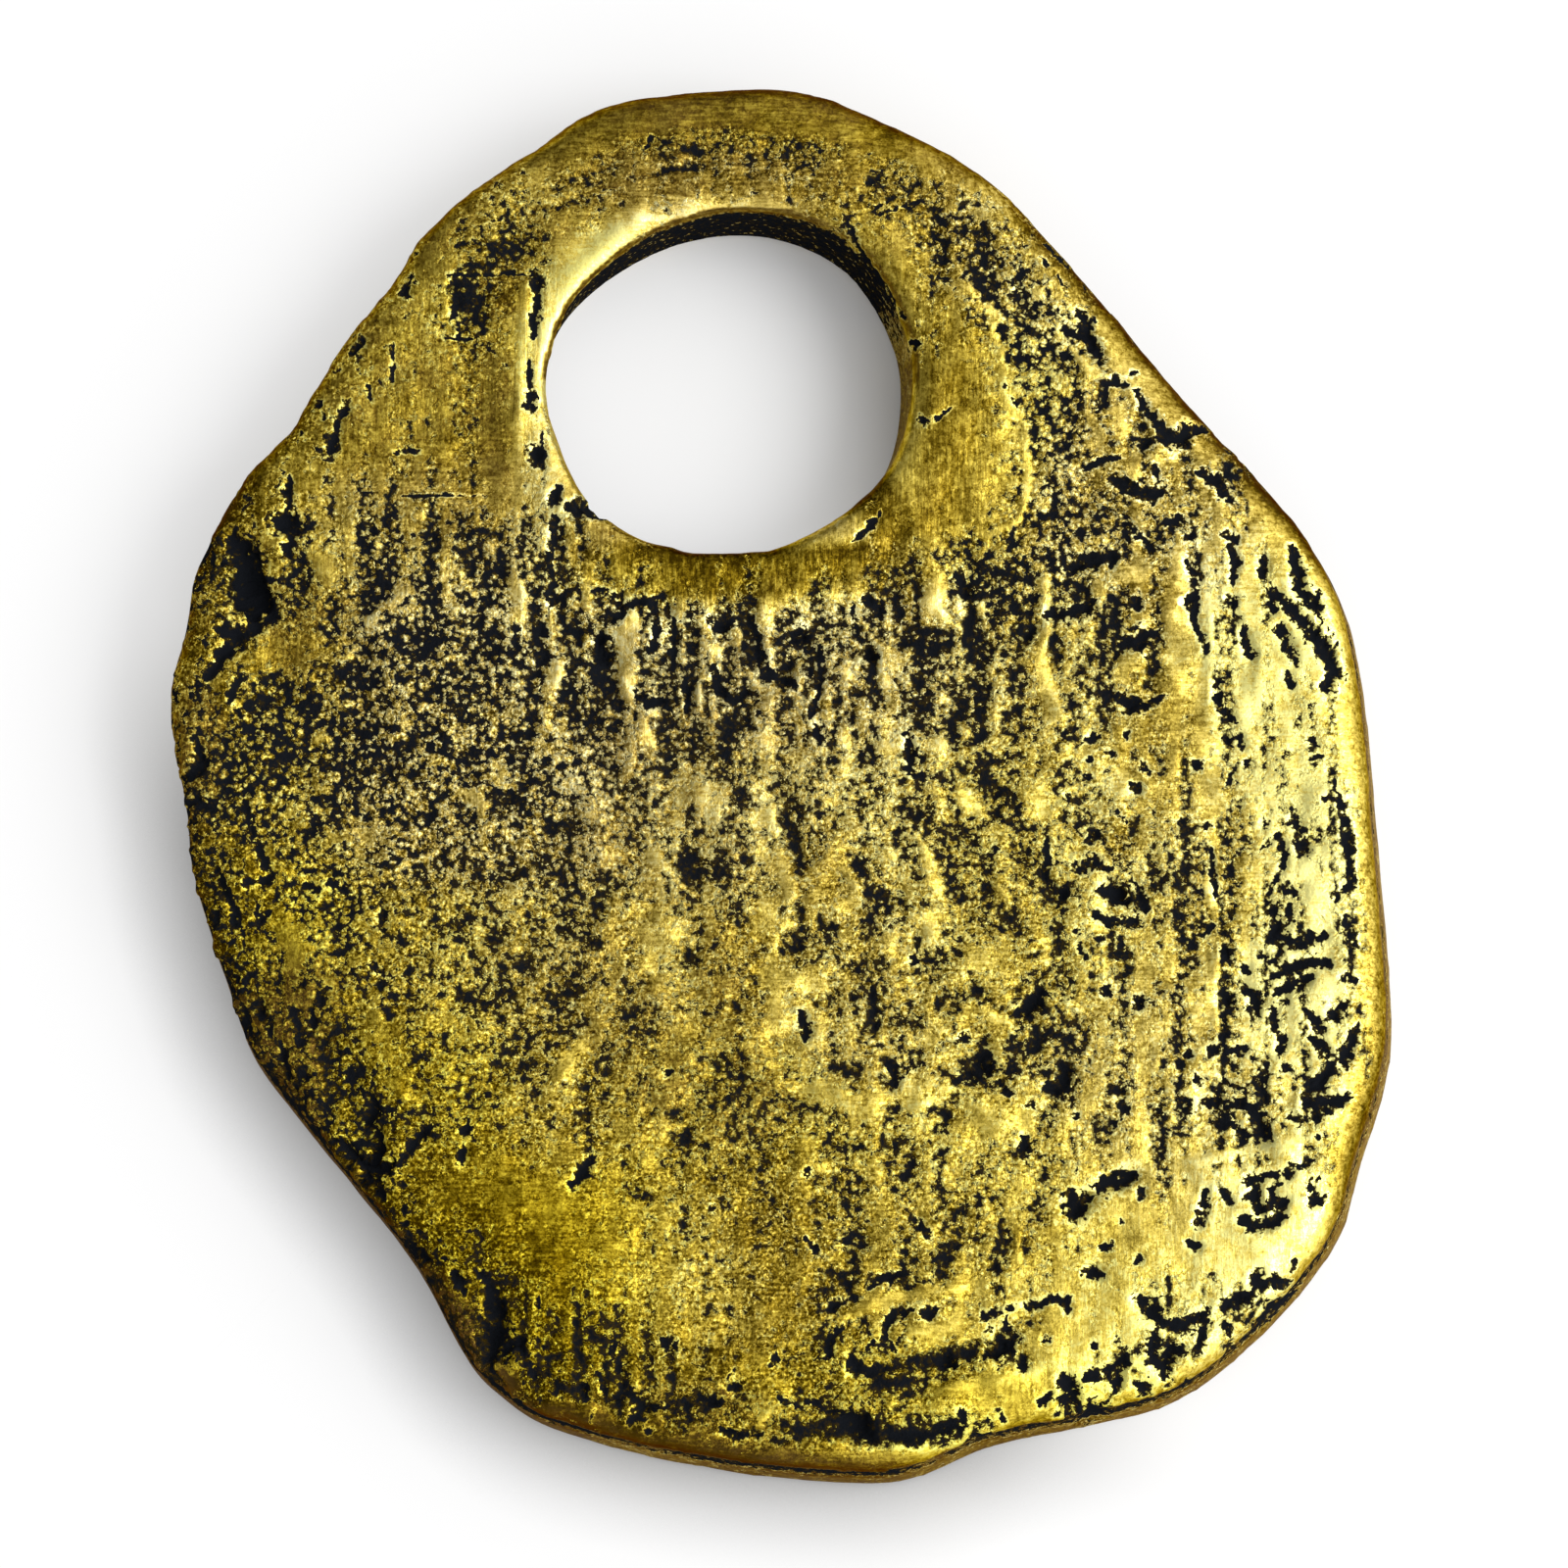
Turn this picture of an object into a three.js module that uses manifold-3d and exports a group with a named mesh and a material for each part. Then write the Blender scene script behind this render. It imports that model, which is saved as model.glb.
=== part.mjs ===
// A cast brass rune amulet: one flat, hand-shaped casting with a wide hole for a cord.
// Millimetres, +Z up. It lies on its rune side, hole towards +Y, as it would on a table.
// The origin is at the middle of its box, on the face that it rests on.
import * as THREE from "three";
import { mergeVertices } from "three/addons/utils/BufferGeometryUtils.js";
import Module from "manifold-3d";

const wasm = await Module();
wasm.setup();

// The casting as a whole.
const HEIGHT = 30;
const WIDTH = 26.1;
const THICKNESS = 2.6;
const FOOT_ROUND = 0.4; // radius of the edge that meets the table
const BROW_REACH = 0.9; // how far the worn edge of the upper face comes in from the wall
const BROW_DROP = 0.5; // how far it falls on the way out
const DRAFT = 0.14; // how far the side wall leans in between those two edges
const FACE_SHIFT = new THREE.Vector2(-0.14, 0.06); // the upper face sits a little off the foot

// The cord hole, a hand-cut oval that isn't quite upright.
const HOLE_WIDTH = 7.85;
const HOLE_HEIGHT = 7.4;
const HOLE_X = -1.1;
const METAL_ABOVE_HOLE = 2.9;
const HOLE_LEAN = new THREE.Vector2(0.3, 0.06); // how far its upper mouth is from its lower one
const HOLE_RIM = 0.3; // radius of the rounded rim at both mouths

// The smooth collar that the cord has polished round the hole.
const COLLAR_WIDTH = 0.8;
const COLLAR_RISE = 0.1;
const COLLAR_SLOPE = 0.5;

// The rune on the underside, an upright stave with two rising arms, read from below.
const STAVE_LENGTH = 10.5;
const STAVE_X = 2.1;
const STAVE_BELOW_HOLE = 1.6;
const UPPER_ARM_LENGTH = 5.6;
const LOWER_ARM_LENGTH = 4.4;
const UPPER_ARM_UP_STAVE = 7;
const LOWER_ARM_UP_STAVE = 4.2;
const ARM_RISE_ANGLE = THREE.MathUtils.degToRad(42);
const GROOVE_WIDTH = 1.1;
const GROOVE_DEPTH = 0.45;

// How finely the surfaces are divided.
const STEPS_AROUND = 120;
const STEPS_ACROSS_FACE = 12;
const STEPS_PER_EDGE = 4;
const HOLE_SIDES = 56;
const GROOVE_END_STEPS = 8;
const DENT_SIDES = 12;
const CUT_PAST = 1; // how far a cutter reaches past the metal

// The outline as it was drawn, anticlockwise from the top, before it is fitted to WIDTH and HEIGHT.
const OUTLINE = [
  [-0.5, 15], [-3.1, 14.75], [-4.2, 14.4], [-5.2, 13.7], [-6.75, 12.65], [-7.4, 12.05],
  [-7.9, 11.5], [-8.4, 10.6], [-9.4, 9.4], [-10.15, 8.1], [-10.4, 7.6], [-11.5, 6.4],
  [-12.1, 5.3], [-12.6, 4.3], [-12.8, 3], [-13.1, 1.4], [-12.75, -0.6], [-12.6, -2.1],
  [-11.9, -4.35], [-11.3, -6], [-10.5, -7.1], [-8.4, -9.65], [-7.7, -10.6], [-6.6, -12.6],
  [-6, -13.2], [-5.2, -13.75], [-2, -14.65], [2, -15.05], [2.9, -14.9], [4.4, -14.25],
  [6.4, -13.85], [8.4, -13.3], [10, -12.1], [11.8, -10], [12.35, -8.3], [12.95, -6.4],
  [13.05, -5], [12.8, -1.3], [12.55, 1.8], [12.1, 3.85], [11.15, 5.5], [9, 7.9],
  [6.9, 10.5], [4.8, 12.8], [3.8, 13.5], [2.2, 14.3], [0.9, 14.85],
];

// The mouth of the hole as it was drawn, anticlockwise from the top, before it is fitted to its size.
const HOLE_OUTLINE = [
  [0.66, 3.73], [-0.87, 3.54], [-2.48, 2.69], [-3.53, 1.56], [-3.93, 0.03], [-3.68, -1.26],
  [-2.97, -2.63], [-1.75, -3.39], [-0.3, -3.68], [1.14, -3.52], [2.59, -2.72], [3.56, -1.66],
  [3.93, -0.29], [3.85, 1.07], [2.92, 2.77], [1.87, 3.45],
];

// Swells and hollows that the modeller's fingers left in the upper face: where each is, as shares of
// half the width and half the height, how far it reaches in mm along and across, its turn in degrees
// and how far it rises.
const SWELLS = [
  { at: [0.02, -0.12], reach: [5.6, 6.4], turn: 0, rise: -0.2 }, // thumb hollow in the middle
  { at: [0.88, -0.16], reach: [1.3, 6.2], turn: 0, rise: 0.16 }, // right lip
  { at: [0.62, -0.76], reach: [4.2, 1.2], turn: 24, rise: 0.18 }, // fold along the lower right
  { at: [0.2, -0.86], reach: [2.6, 0.9], turn: 8, rise: 0.1 }, // tongue at the foot
  { at: [-0.42, -0.66], reach: [3.2, 2.2], turn: -42, rise: 0.16 }, // smooth swell, lower left
  { at: [-0.78, 0.1], reach: [1.6, 4.6], turn: 8, rise: -0.22 }, // left side, pressed thin
  { at: [-0.84, -0.36], reach: [1.5, 3], turn: 22, rise: -0.3 },
  { at: [0.5, 0.56], reach: [1.1, 4.4], turn: 38, rise: 0.1 }, // right shoulder
  { at: [-0.08, -0.3], reach: [0.7, 4.6], turn: 0, rise: 0.08 }, // three soft ribs down the hollow
  { at: [0.11, -0.22], reach: [0.6, 4.2], turn: 4, rise: 0.08 },
  { at: [0.24, -0.12], reach: [0.5, 3.6], turn: 6, rise: 0.07 },
  { at: [0.31, 0.5], reach: [1.2, 2.4], turn: -8, rise: 0.1 }, // pad beside the hole
];

// Pits and gouges in the upper face: where each is, as shares of half the width and half the height,
// its length, width and depth in mm, and its turn in degrees.
const DENTS = [
  { at: [-0.88, 0.277], size: [2.2, 0.8, 0.3], turn: -67 }, // gouge at the left edge
  { at: [-0.72, -0.443], size: [4.4, 1.1, 0.18], turn: -61 }, // long press mark, lower left
  { at: [-0.48, -0.783], size: [2.2, 1.6, 0.25], turn: 65 }, // hollow at the lower left corner
  { at: [0.18, -0.923], size: [4.8, 0.55, 0.2], turn: 1 }, // creases along the foot
  { at: [0.25, -0.823], size: [3.8, 0.6, 0.18], turn: 7 },
  { at: [0.57, -0.853], size: [2.6, 0.65, 0.22], turn: 24 }, // crease under the fold, lower right
  { at: [0.75, -0.768], size: [2.7, 0.7, 0.22], turn: 32 },
  { at: [0.61, -0.763], size: [0.8, 0.42, 0.2], turn: 62 },
  { at: [0.49, -0.603], size: [0.72, 0.5, 0.2], turn: 80 }, // casting pits
  { at: [0.555, -0.583], size: [1.05, 0.46, 0.18], turn: 20 },
  { at: [0.336, -0.413], size: [0.64, 0.46, 0.2], turn: 75 },
  { at: [0.55, -0.17], size: [0.52, 0.48, 0.2], turn: 0 },
  { at: [0.59, -0.167], size: [0.66, 0.26, 0.14], turn: 80 },
  { at: [0.293, 0.275], size: [0.7, 0.36, 0.2], turn: 80 },
  { at: [0.344, 0.324], size: [0.48, 0.4, 0.18], turn: 60 },
  { at: [0.49, 0.63], size: [1.6, 0.32, 0.18], turn: -50 }, // cuts on the right shoulder
  { at: [0.59, 0.417], size: [1, 0.3, 0.14], turn: 12 },
  { at: [0.87, 0.212], size: [2.3, 0.34, 0.16], turn: -49 },
  { at: [0.86, -0.233], size: [1, 0.28, 0.14], turn: 0 }, // two short bars inside the right lip
  { at: [0.85, -0.268], size: [1.1, 0.2, 0.1], turn: 0 },
  { at: [0.81, -0.76], size: [0.55, 0.45, 0.3], turn: 40 }, // nicks in the edge, lower right
  { at: [0.515, -0.915], size: [0.55, 0.45, 0.35], turn: 0 },
];

const brass = new THREE.MeshStandardMaterial({
  color: 0xb8a03c,
  roughness: 0.38,
  metalness: 1,
});

// Points along a drawn outline, fitted to a width and a height and centred on the origin.
function fittedOutline(drawn, width, height, steps) {
  const corners = drawn.map(([x, y]) => new THREE.Vector3(x, y, 0));
  const curve = new THREE.CatmullRomCurve3(corners, true, "centripetal");
  const points = curve.getPoints(steps).slice(0, steps);
  const box = new THREE.Box3().setFromPoints(points);
  const size = box.getSize(new THREE.Vector3());
  const middle = box.getCenter(new THREE.Vector3());
  return points.map((p) => new THREE.Vector2(
    ((p.x - middle.x) * width) / size.x,
    ((p.y - middle.y) * height) / size.y,
  ));
}

// The way in from the outline at each point, square to it.
function inwardNormals(points) {
  const count = points.length;
  return points.map((_, i) => {
    const along = points[(i + 1) % count].clone().sub(points[(i + count - 1) % count]);
    return new THREE.Vector2(-along.y, along.x).normalize();
  });
}

const outline = fittedOutline(OUTLINE, WIDTH, HEIGHT, STEPS_AROUND);
const inward = inwardNormals(outline);
const holeOutline = fittedOutline(HOLE_OUTLINE, HOLE_WIDTH, HOLE_HEIGHT, HOLE_SIDES);
const holeInward = inwardNormals(holeOutline);
const holeCentre = new THREE.Vector2(HOLE_X, HEIGHT / 2 - METAL_ABOVE_HOLE - HOLE_HEIGHT / 2);

function swellAt({ at, reach, turn, rise }, x, y) {
  const dx = x - (at[0] * WIDTH) / 2;
  const dy = y - (at[1] * HEIGHT) / 2;
  const angle = THREE.MathUtils.degToRad(turn);
  const along = (dx * Math.cos(angle) + dy * Math.sin(angle)) / reach[0];
  const across = (dy * Math.cos(angle) - dx * Math.sin(angle)) / reach[1];
  return rise * Math.exp(-(along * along + across * across));
}

function collarAt(x, y) {
  const share = Math.hypot((x - holeCentre.x) / HOLE_WIDTH, (y - holeCentre.y) / HOLE_HEIGHT) * 2;
  const past = ((share - 1) * (HOLE_WIDTH + HOLE_HEIGHT)) / 4;
  return COLLAR_RISE * (1 - THREE.MathUtils.smoothstep(past, COLLAR_WIDTH, COLLAR_WIDTH + COLLAR_SLOPE));
}

function faceHeight(x, y) {
  return SWELLS.reduce((sum, swell) => sum + swellAt(swell, x, y), THICKNESS + collarAt(x, y));
}

// One ring of the side wall: the outline moved in by inset and shifted as the wall leans.
function wallRing(inset, share) {
  return outline.map((p, i) => p.clone()
    .addScaledVector(inward[i], inset)
    .addScaledVector(FACE_SHIFT, share));
}

// A quarter turn in steps, as the sine and cosine of each step's angle.
function quarterTurn() {
  return Array.from({ length: STEPS_PER_EDGE + 1 }, (_, k) => {
    const angle = (k / STEPS_PER_EDGE) * (Math.PI / 2);
    return [Math.sin(angle), Math.cos(angle)];
  });
}

// A closed body through rings of as many points each, from its lowest point to its highest.
function loft(lowest, rings, highest) {
  const count = rings[0].length;
  const vertices = [lowest, ...rings.flat(), highest];
  const vertexOf = (ring, i) => 1 + ring * count + (i % count);
  const top = vertices.length - 1;
  const triangles = [];
  for (let i = 0; i < count; i++) {
    triangles.push(0, vertexOf(0, i + 1), vertexOf(0, i));
    triangles.push(top, vertexOf(rings.length - 1, i), vertexOf(rings.length - 1, i + 1));
    for (let ring = 0; ring < rings.length - 1; ring++) {
      triangles.push(vertexOf(ring, i), vertexOf(ring, i + 1), vertexOf(ring + 1, i + 1));
      triangles.push(vertexOf(ring, i), vertexOf(ring + 1, i + 1), vertexOf(ring + 1, i));
    }
  }
  const geometry = new THREE.BufferGeometry();
  geometry.setAttribute("position", new THREE.Float32BufferAttribute(vertices.flat(), 3));
  geometry.setIndex(triangles);
  return geometry;
}

// The casting before any cut, as rings from the foot up the wall and in across the upper face.
function blankGeometry() {
  const foot = quarterTurn().map(([sin, cos]) => wallRing(FOOT_ROUND * (1 - sin), 0)
    .map((p) => [p.x, p.y, FOOT_ROUND * (1 - cos)]));
  const brow = quarterTurn().map(([sin, cos]) => wallRing(DRAFT + BROW_REACH * (1 - cos), 1)
    .map((p) => [p.x, p.y, faceHeight(p.x, p.y) - BROW_DROP * (1 - sin)]));
  const faceRim = wallRing(DRAFT + BROW_REACH, 1);
  const face = Array.from({ length: STEPS_ACROSS_FACE - 1 }, (_, k) => {
    const share = 1 - (k + 1) / STEPS_ACROSS_FACE;
    return faceRim.map((p) => [p.x * share, p.y * share, faceHeight(p.x * share, p.y * share)]);
  });
  return loft([0, 0, 0], [...foot, ...brow, ...face], [0, 0, faceHeight(0, 0)]);
}

// The cutter for the cord hole, leaned over and flared at both mouths to round their rims.
function holeCutter() {
  const top = THICKNESS + CUT_PAST;
  const ring = (flare, z, rimHeight = () => z) => holeOutline.map((p, i) => {
    const out = p.clone().addScaledVector(holeInward[i], -flare).add(holeCentre);
    const height = rimHeight(out);
    const past = Math.min(height / THICKNESS, 1) - 1;
    return [out.x + HOLE_LEAN.x * past, out.y + HOLE_LEAN.y * past, height];
  });
  const lower = quarterTurn().map(([sin, cos]) => ring(HOLE_RIM * (1 - sin), HOLE_RIM * (1 - cos)));
  const upper = quarterTurn().map(([sin, cos]) => ring(
    HOLE_RIM * (1 - cos),
    THICKNESS,
    (p) => faceHeight(p.x, p.y) - HOLE_RIM * (1 - sin),
  ));
  return loft(
    [holeCentre.x, holeCentre.y, -CUT_PAST],
    [ring(HOLE_RIM, -CUT_PAST), ...lower, ...upper, ring(HOLE_RIM, top)],
    [holeCentre.x, holeCentre.y, top],
  );
}

// A pit or gouge: a round-bottomed bowl, open upwards, whose brim lies level with the face at its middle.
function dentCutter({ at, size, turn }) {
  const x = (at[0] * WIDTH) / 2;
  const y = (at[1] * HEIGHT) / 2;
  const profile = quarterTurn().map(([sin, cos]) => new THREE.Vector2(sin, -size[2] * cos));
  profile.push(new THREE.Vector2(1, CUT_PAST), new THREE.Vector2(0, CUT_PAST));
  return new THREE.LatheGeometry(profile, DENT_SIDES)
    .rotateX(Math.PI / 2)
    .scale(size[0] / 2, size[1] / 2, 1)
    .rotateZ(THREE.MathUtils.degToRad(turn))
    .translate(x, y, faceHeight(x, y));
}

// One groove of the rune, round at both ends, from a point in the underside and turned from +Y.
function grooveCutter(x, y, length, turn) {
  const half = GROOVE_WIDTH / 2;
  const shape = new THREE.Shape();
  shape.absarc(0, length - half, half, 0, Math.PI, false);
  shape.absarc(0, half, half, Math.PI, 2 * Math.PI, false);
  shape.closePath();
  return new THREE.ExtrudeGeometry(shape, {
    depth: GROOVE_DEPTH + CUT_PAST,
    bevelEnabled: false,
    curveSegments: GROOVE_END_STEPS,
  }).translate(0, -half, 0).rotateZ(turn).translate(x, y, -CUT_PAST);
}

function runeCutters() {
  const top = holeCentre.y - HOLE_HEIGHT / 2 - STAVE_BELOW_HOLE;
  const foot = top - STAVE_LENGTH;
  const armTurn = Math.PI / 2 - ARM_RISE_ANGLE;
  return [
    grooveCutter(STAVE_X, foot, STAVE_LENGTH, 0),
    grooveCutter(STAVE_X, foot + UPPER_ARM_UP_STAVE, UPPER_ARM_LENGTH, armTurn),
    grooveCutter(STAVE_X, foot + LOWER_ARM_UP_STAVE, LOWER_ARM_LENGTH, armTurn),
  ];
}

function solidFrom(geometry) {
  const bare = geometry.clone();
  bare.deleteAttribute("normal");
  bare.deleteAttribute("uv");
  const merged = mergeVertices(bare, 1e-4);
  return new wasm.Manifold(new wasm.Mesh({
    numProp: 3,
    vertProperties: merged.attributes.position.array,
    triVerts: new Uint32Array(merged.index.array),
  }));
}

function geometryFrom(solid) {
  const mesh = solid.getMesh();
  const geometry = new THREE.BufferGeometry();
  geometry.setAttribute("position", new THREE.BufferAttribute(mesh.vertProperties, 3));
  geometry.setIndex(new THREE.BufferAttribute(mesh.triVerts, 1));
  geometry.computeVertexNormals();
  return geometry;
}

function amuletBody() {
  const cutters = [holeCutter(), ...runeCutters(), ...DENTS.map(dentCutter)];
  const blank = solidFrom(blankGeometry());
  const casting = cutters.reduce((solid, cutter) => solid.subtract(solidFrom(cutter)), blank);
  const mesh = new THREE.Mesh(geometryFrom(casting), brass);
  mesh.name = "amulet_body";
  return mesh;
}

const amulet = new THREE.Group();
amulet.add(amuletBody());

export default amulet;
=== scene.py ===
import math

import bmesh
import bpy
import numpy as np
from mathutils import Matrix, Vector
from mathutils.kdtree import KDTree


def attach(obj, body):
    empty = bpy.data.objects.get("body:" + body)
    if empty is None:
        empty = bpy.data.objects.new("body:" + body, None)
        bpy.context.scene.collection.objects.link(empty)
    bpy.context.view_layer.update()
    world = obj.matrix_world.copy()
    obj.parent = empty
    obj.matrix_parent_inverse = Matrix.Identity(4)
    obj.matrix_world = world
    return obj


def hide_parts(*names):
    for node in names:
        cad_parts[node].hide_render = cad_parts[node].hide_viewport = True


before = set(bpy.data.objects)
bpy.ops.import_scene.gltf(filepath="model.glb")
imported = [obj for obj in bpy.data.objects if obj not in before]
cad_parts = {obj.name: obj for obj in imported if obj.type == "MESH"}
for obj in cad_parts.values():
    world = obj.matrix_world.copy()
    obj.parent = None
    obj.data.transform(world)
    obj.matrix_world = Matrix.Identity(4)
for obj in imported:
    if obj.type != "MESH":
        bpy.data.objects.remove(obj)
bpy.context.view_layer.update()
MM = 0.001
bpy.context.scene.view_settings.view_transform = "Standard"

# The camera looks down on the amulet from just in front of its lower edge. Its picture is also the
# drawing grid of the face: 1600 units each way, u to the right and v down.
GRID = 1600
DISTANCE = 0.15
ELEVATION = math.radians(82)
AIM = Vector((0.04, -0.08, 1)) * MM
camera = bpy.data.objects.new("camera", bpy.data.cameras.new("camera"))
bpy.context.scene.collection.objects.link(camera)
bpy.context.scene.camera = camera
camera.data.lens = 160.8
camera.data.clip_start = 0.01
camera.data.clip_end = 2
camera.location = AIM + DISTANCE * Vector((0, -math.cos(ELEVATION), math.sin(ELEVATION)))
camera.rotation_euler = (math.pi / 2 - ELEVATION, 0, 0)

# The amulet body: one brass casting, poured in an open mould and rubbed down by hand.
# Its mesh is the CAD solid closed over with an even skin, finer on the face than elsewhere, so that
# the worn relief can be pressed into it.
SKIN_STEP = 0.2  # mm between points of the skin, and half of that on the face
WELD_REACH = 0.001  # mm
SOFTEN = 0.5  # of the way to the middle of a point's neighbours
FINE_FROM = 1.3  # mm above the table, the lowest that the finer skin of the face comes
FINE_UP = 0.35  # how far up a place of that finer skin has to look
body = bpy.data.objects.new("casting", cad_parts["amulet_body"].data.copy())
bpy.context.scene.collection.objects.link(body)
for layer in list(body.data.color_attributes):
    body.data.color_attributes.remove(layer)


def settle(piece):
    """Puts the result of a piece's modifiers in place of its mesh."""
    shape = piece.evaluated_get(bpy.context.evaluated_depsgraph_get())
    mesh = bpy.data.meshes.new_from_object(shape)
    piece.modifiers.clear()
    piece.data = mesh


def rows_of(mesh, what):
    """The places ("co") or the normals ("normal") of the points of a mesh, as rows of x, y and z."""
    flat = np.empty(len(mesh.vertices) * 3, np.float32)
    mesh.vertices.foreach_get(what, flat)
    return flat.reshape(-1, 3).astype(float)


body.data.transform(Matrix.Scale(1 / MM, 4))
weld = body.modifiers.new("weld", "WELD")
weld.merge_threshold = WELD_REACH
remesh = body.modifiers.new("skin", "REMESH")
remesh.mode = "VOXEL"
remesh.voxel_size = SKIN_STEP
smooth = body.modifiers.new("smooth", "SMOOTH")
smooth.factor = SOFTEN
smooth.iterations = 2
settle(body)

fine = bmesh.new()
fine.from_mesh(body.data)
fine.normal_update()
upper = [f for f in fine.faces if f.normal.z > FINE_UP and f.calc_center_median().z > FINE_FROM]
bmesh.ops.subdivide_edges(fine, edges=list({e for f in upper for e in f.edges}), cuts=1, use_grid_fill=True)
bmesh.ops.smooth_vert(
    fine, verts=list({v for f in upper for v in f.verts}), factor=SOFTEN,
    use_axis_x=True, use_axis_y=True, use_axis_z=True)
fine.to_mesh(body.data)
fine.free()
body.data.transform(Matrix.Scale(MM, 4))
body.data.shade_smooth()

at = rows_of(body.data, "co") / MM
x, y, z = at.T
up = rows_of(body.data, "normal")[:, 2]

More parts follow.
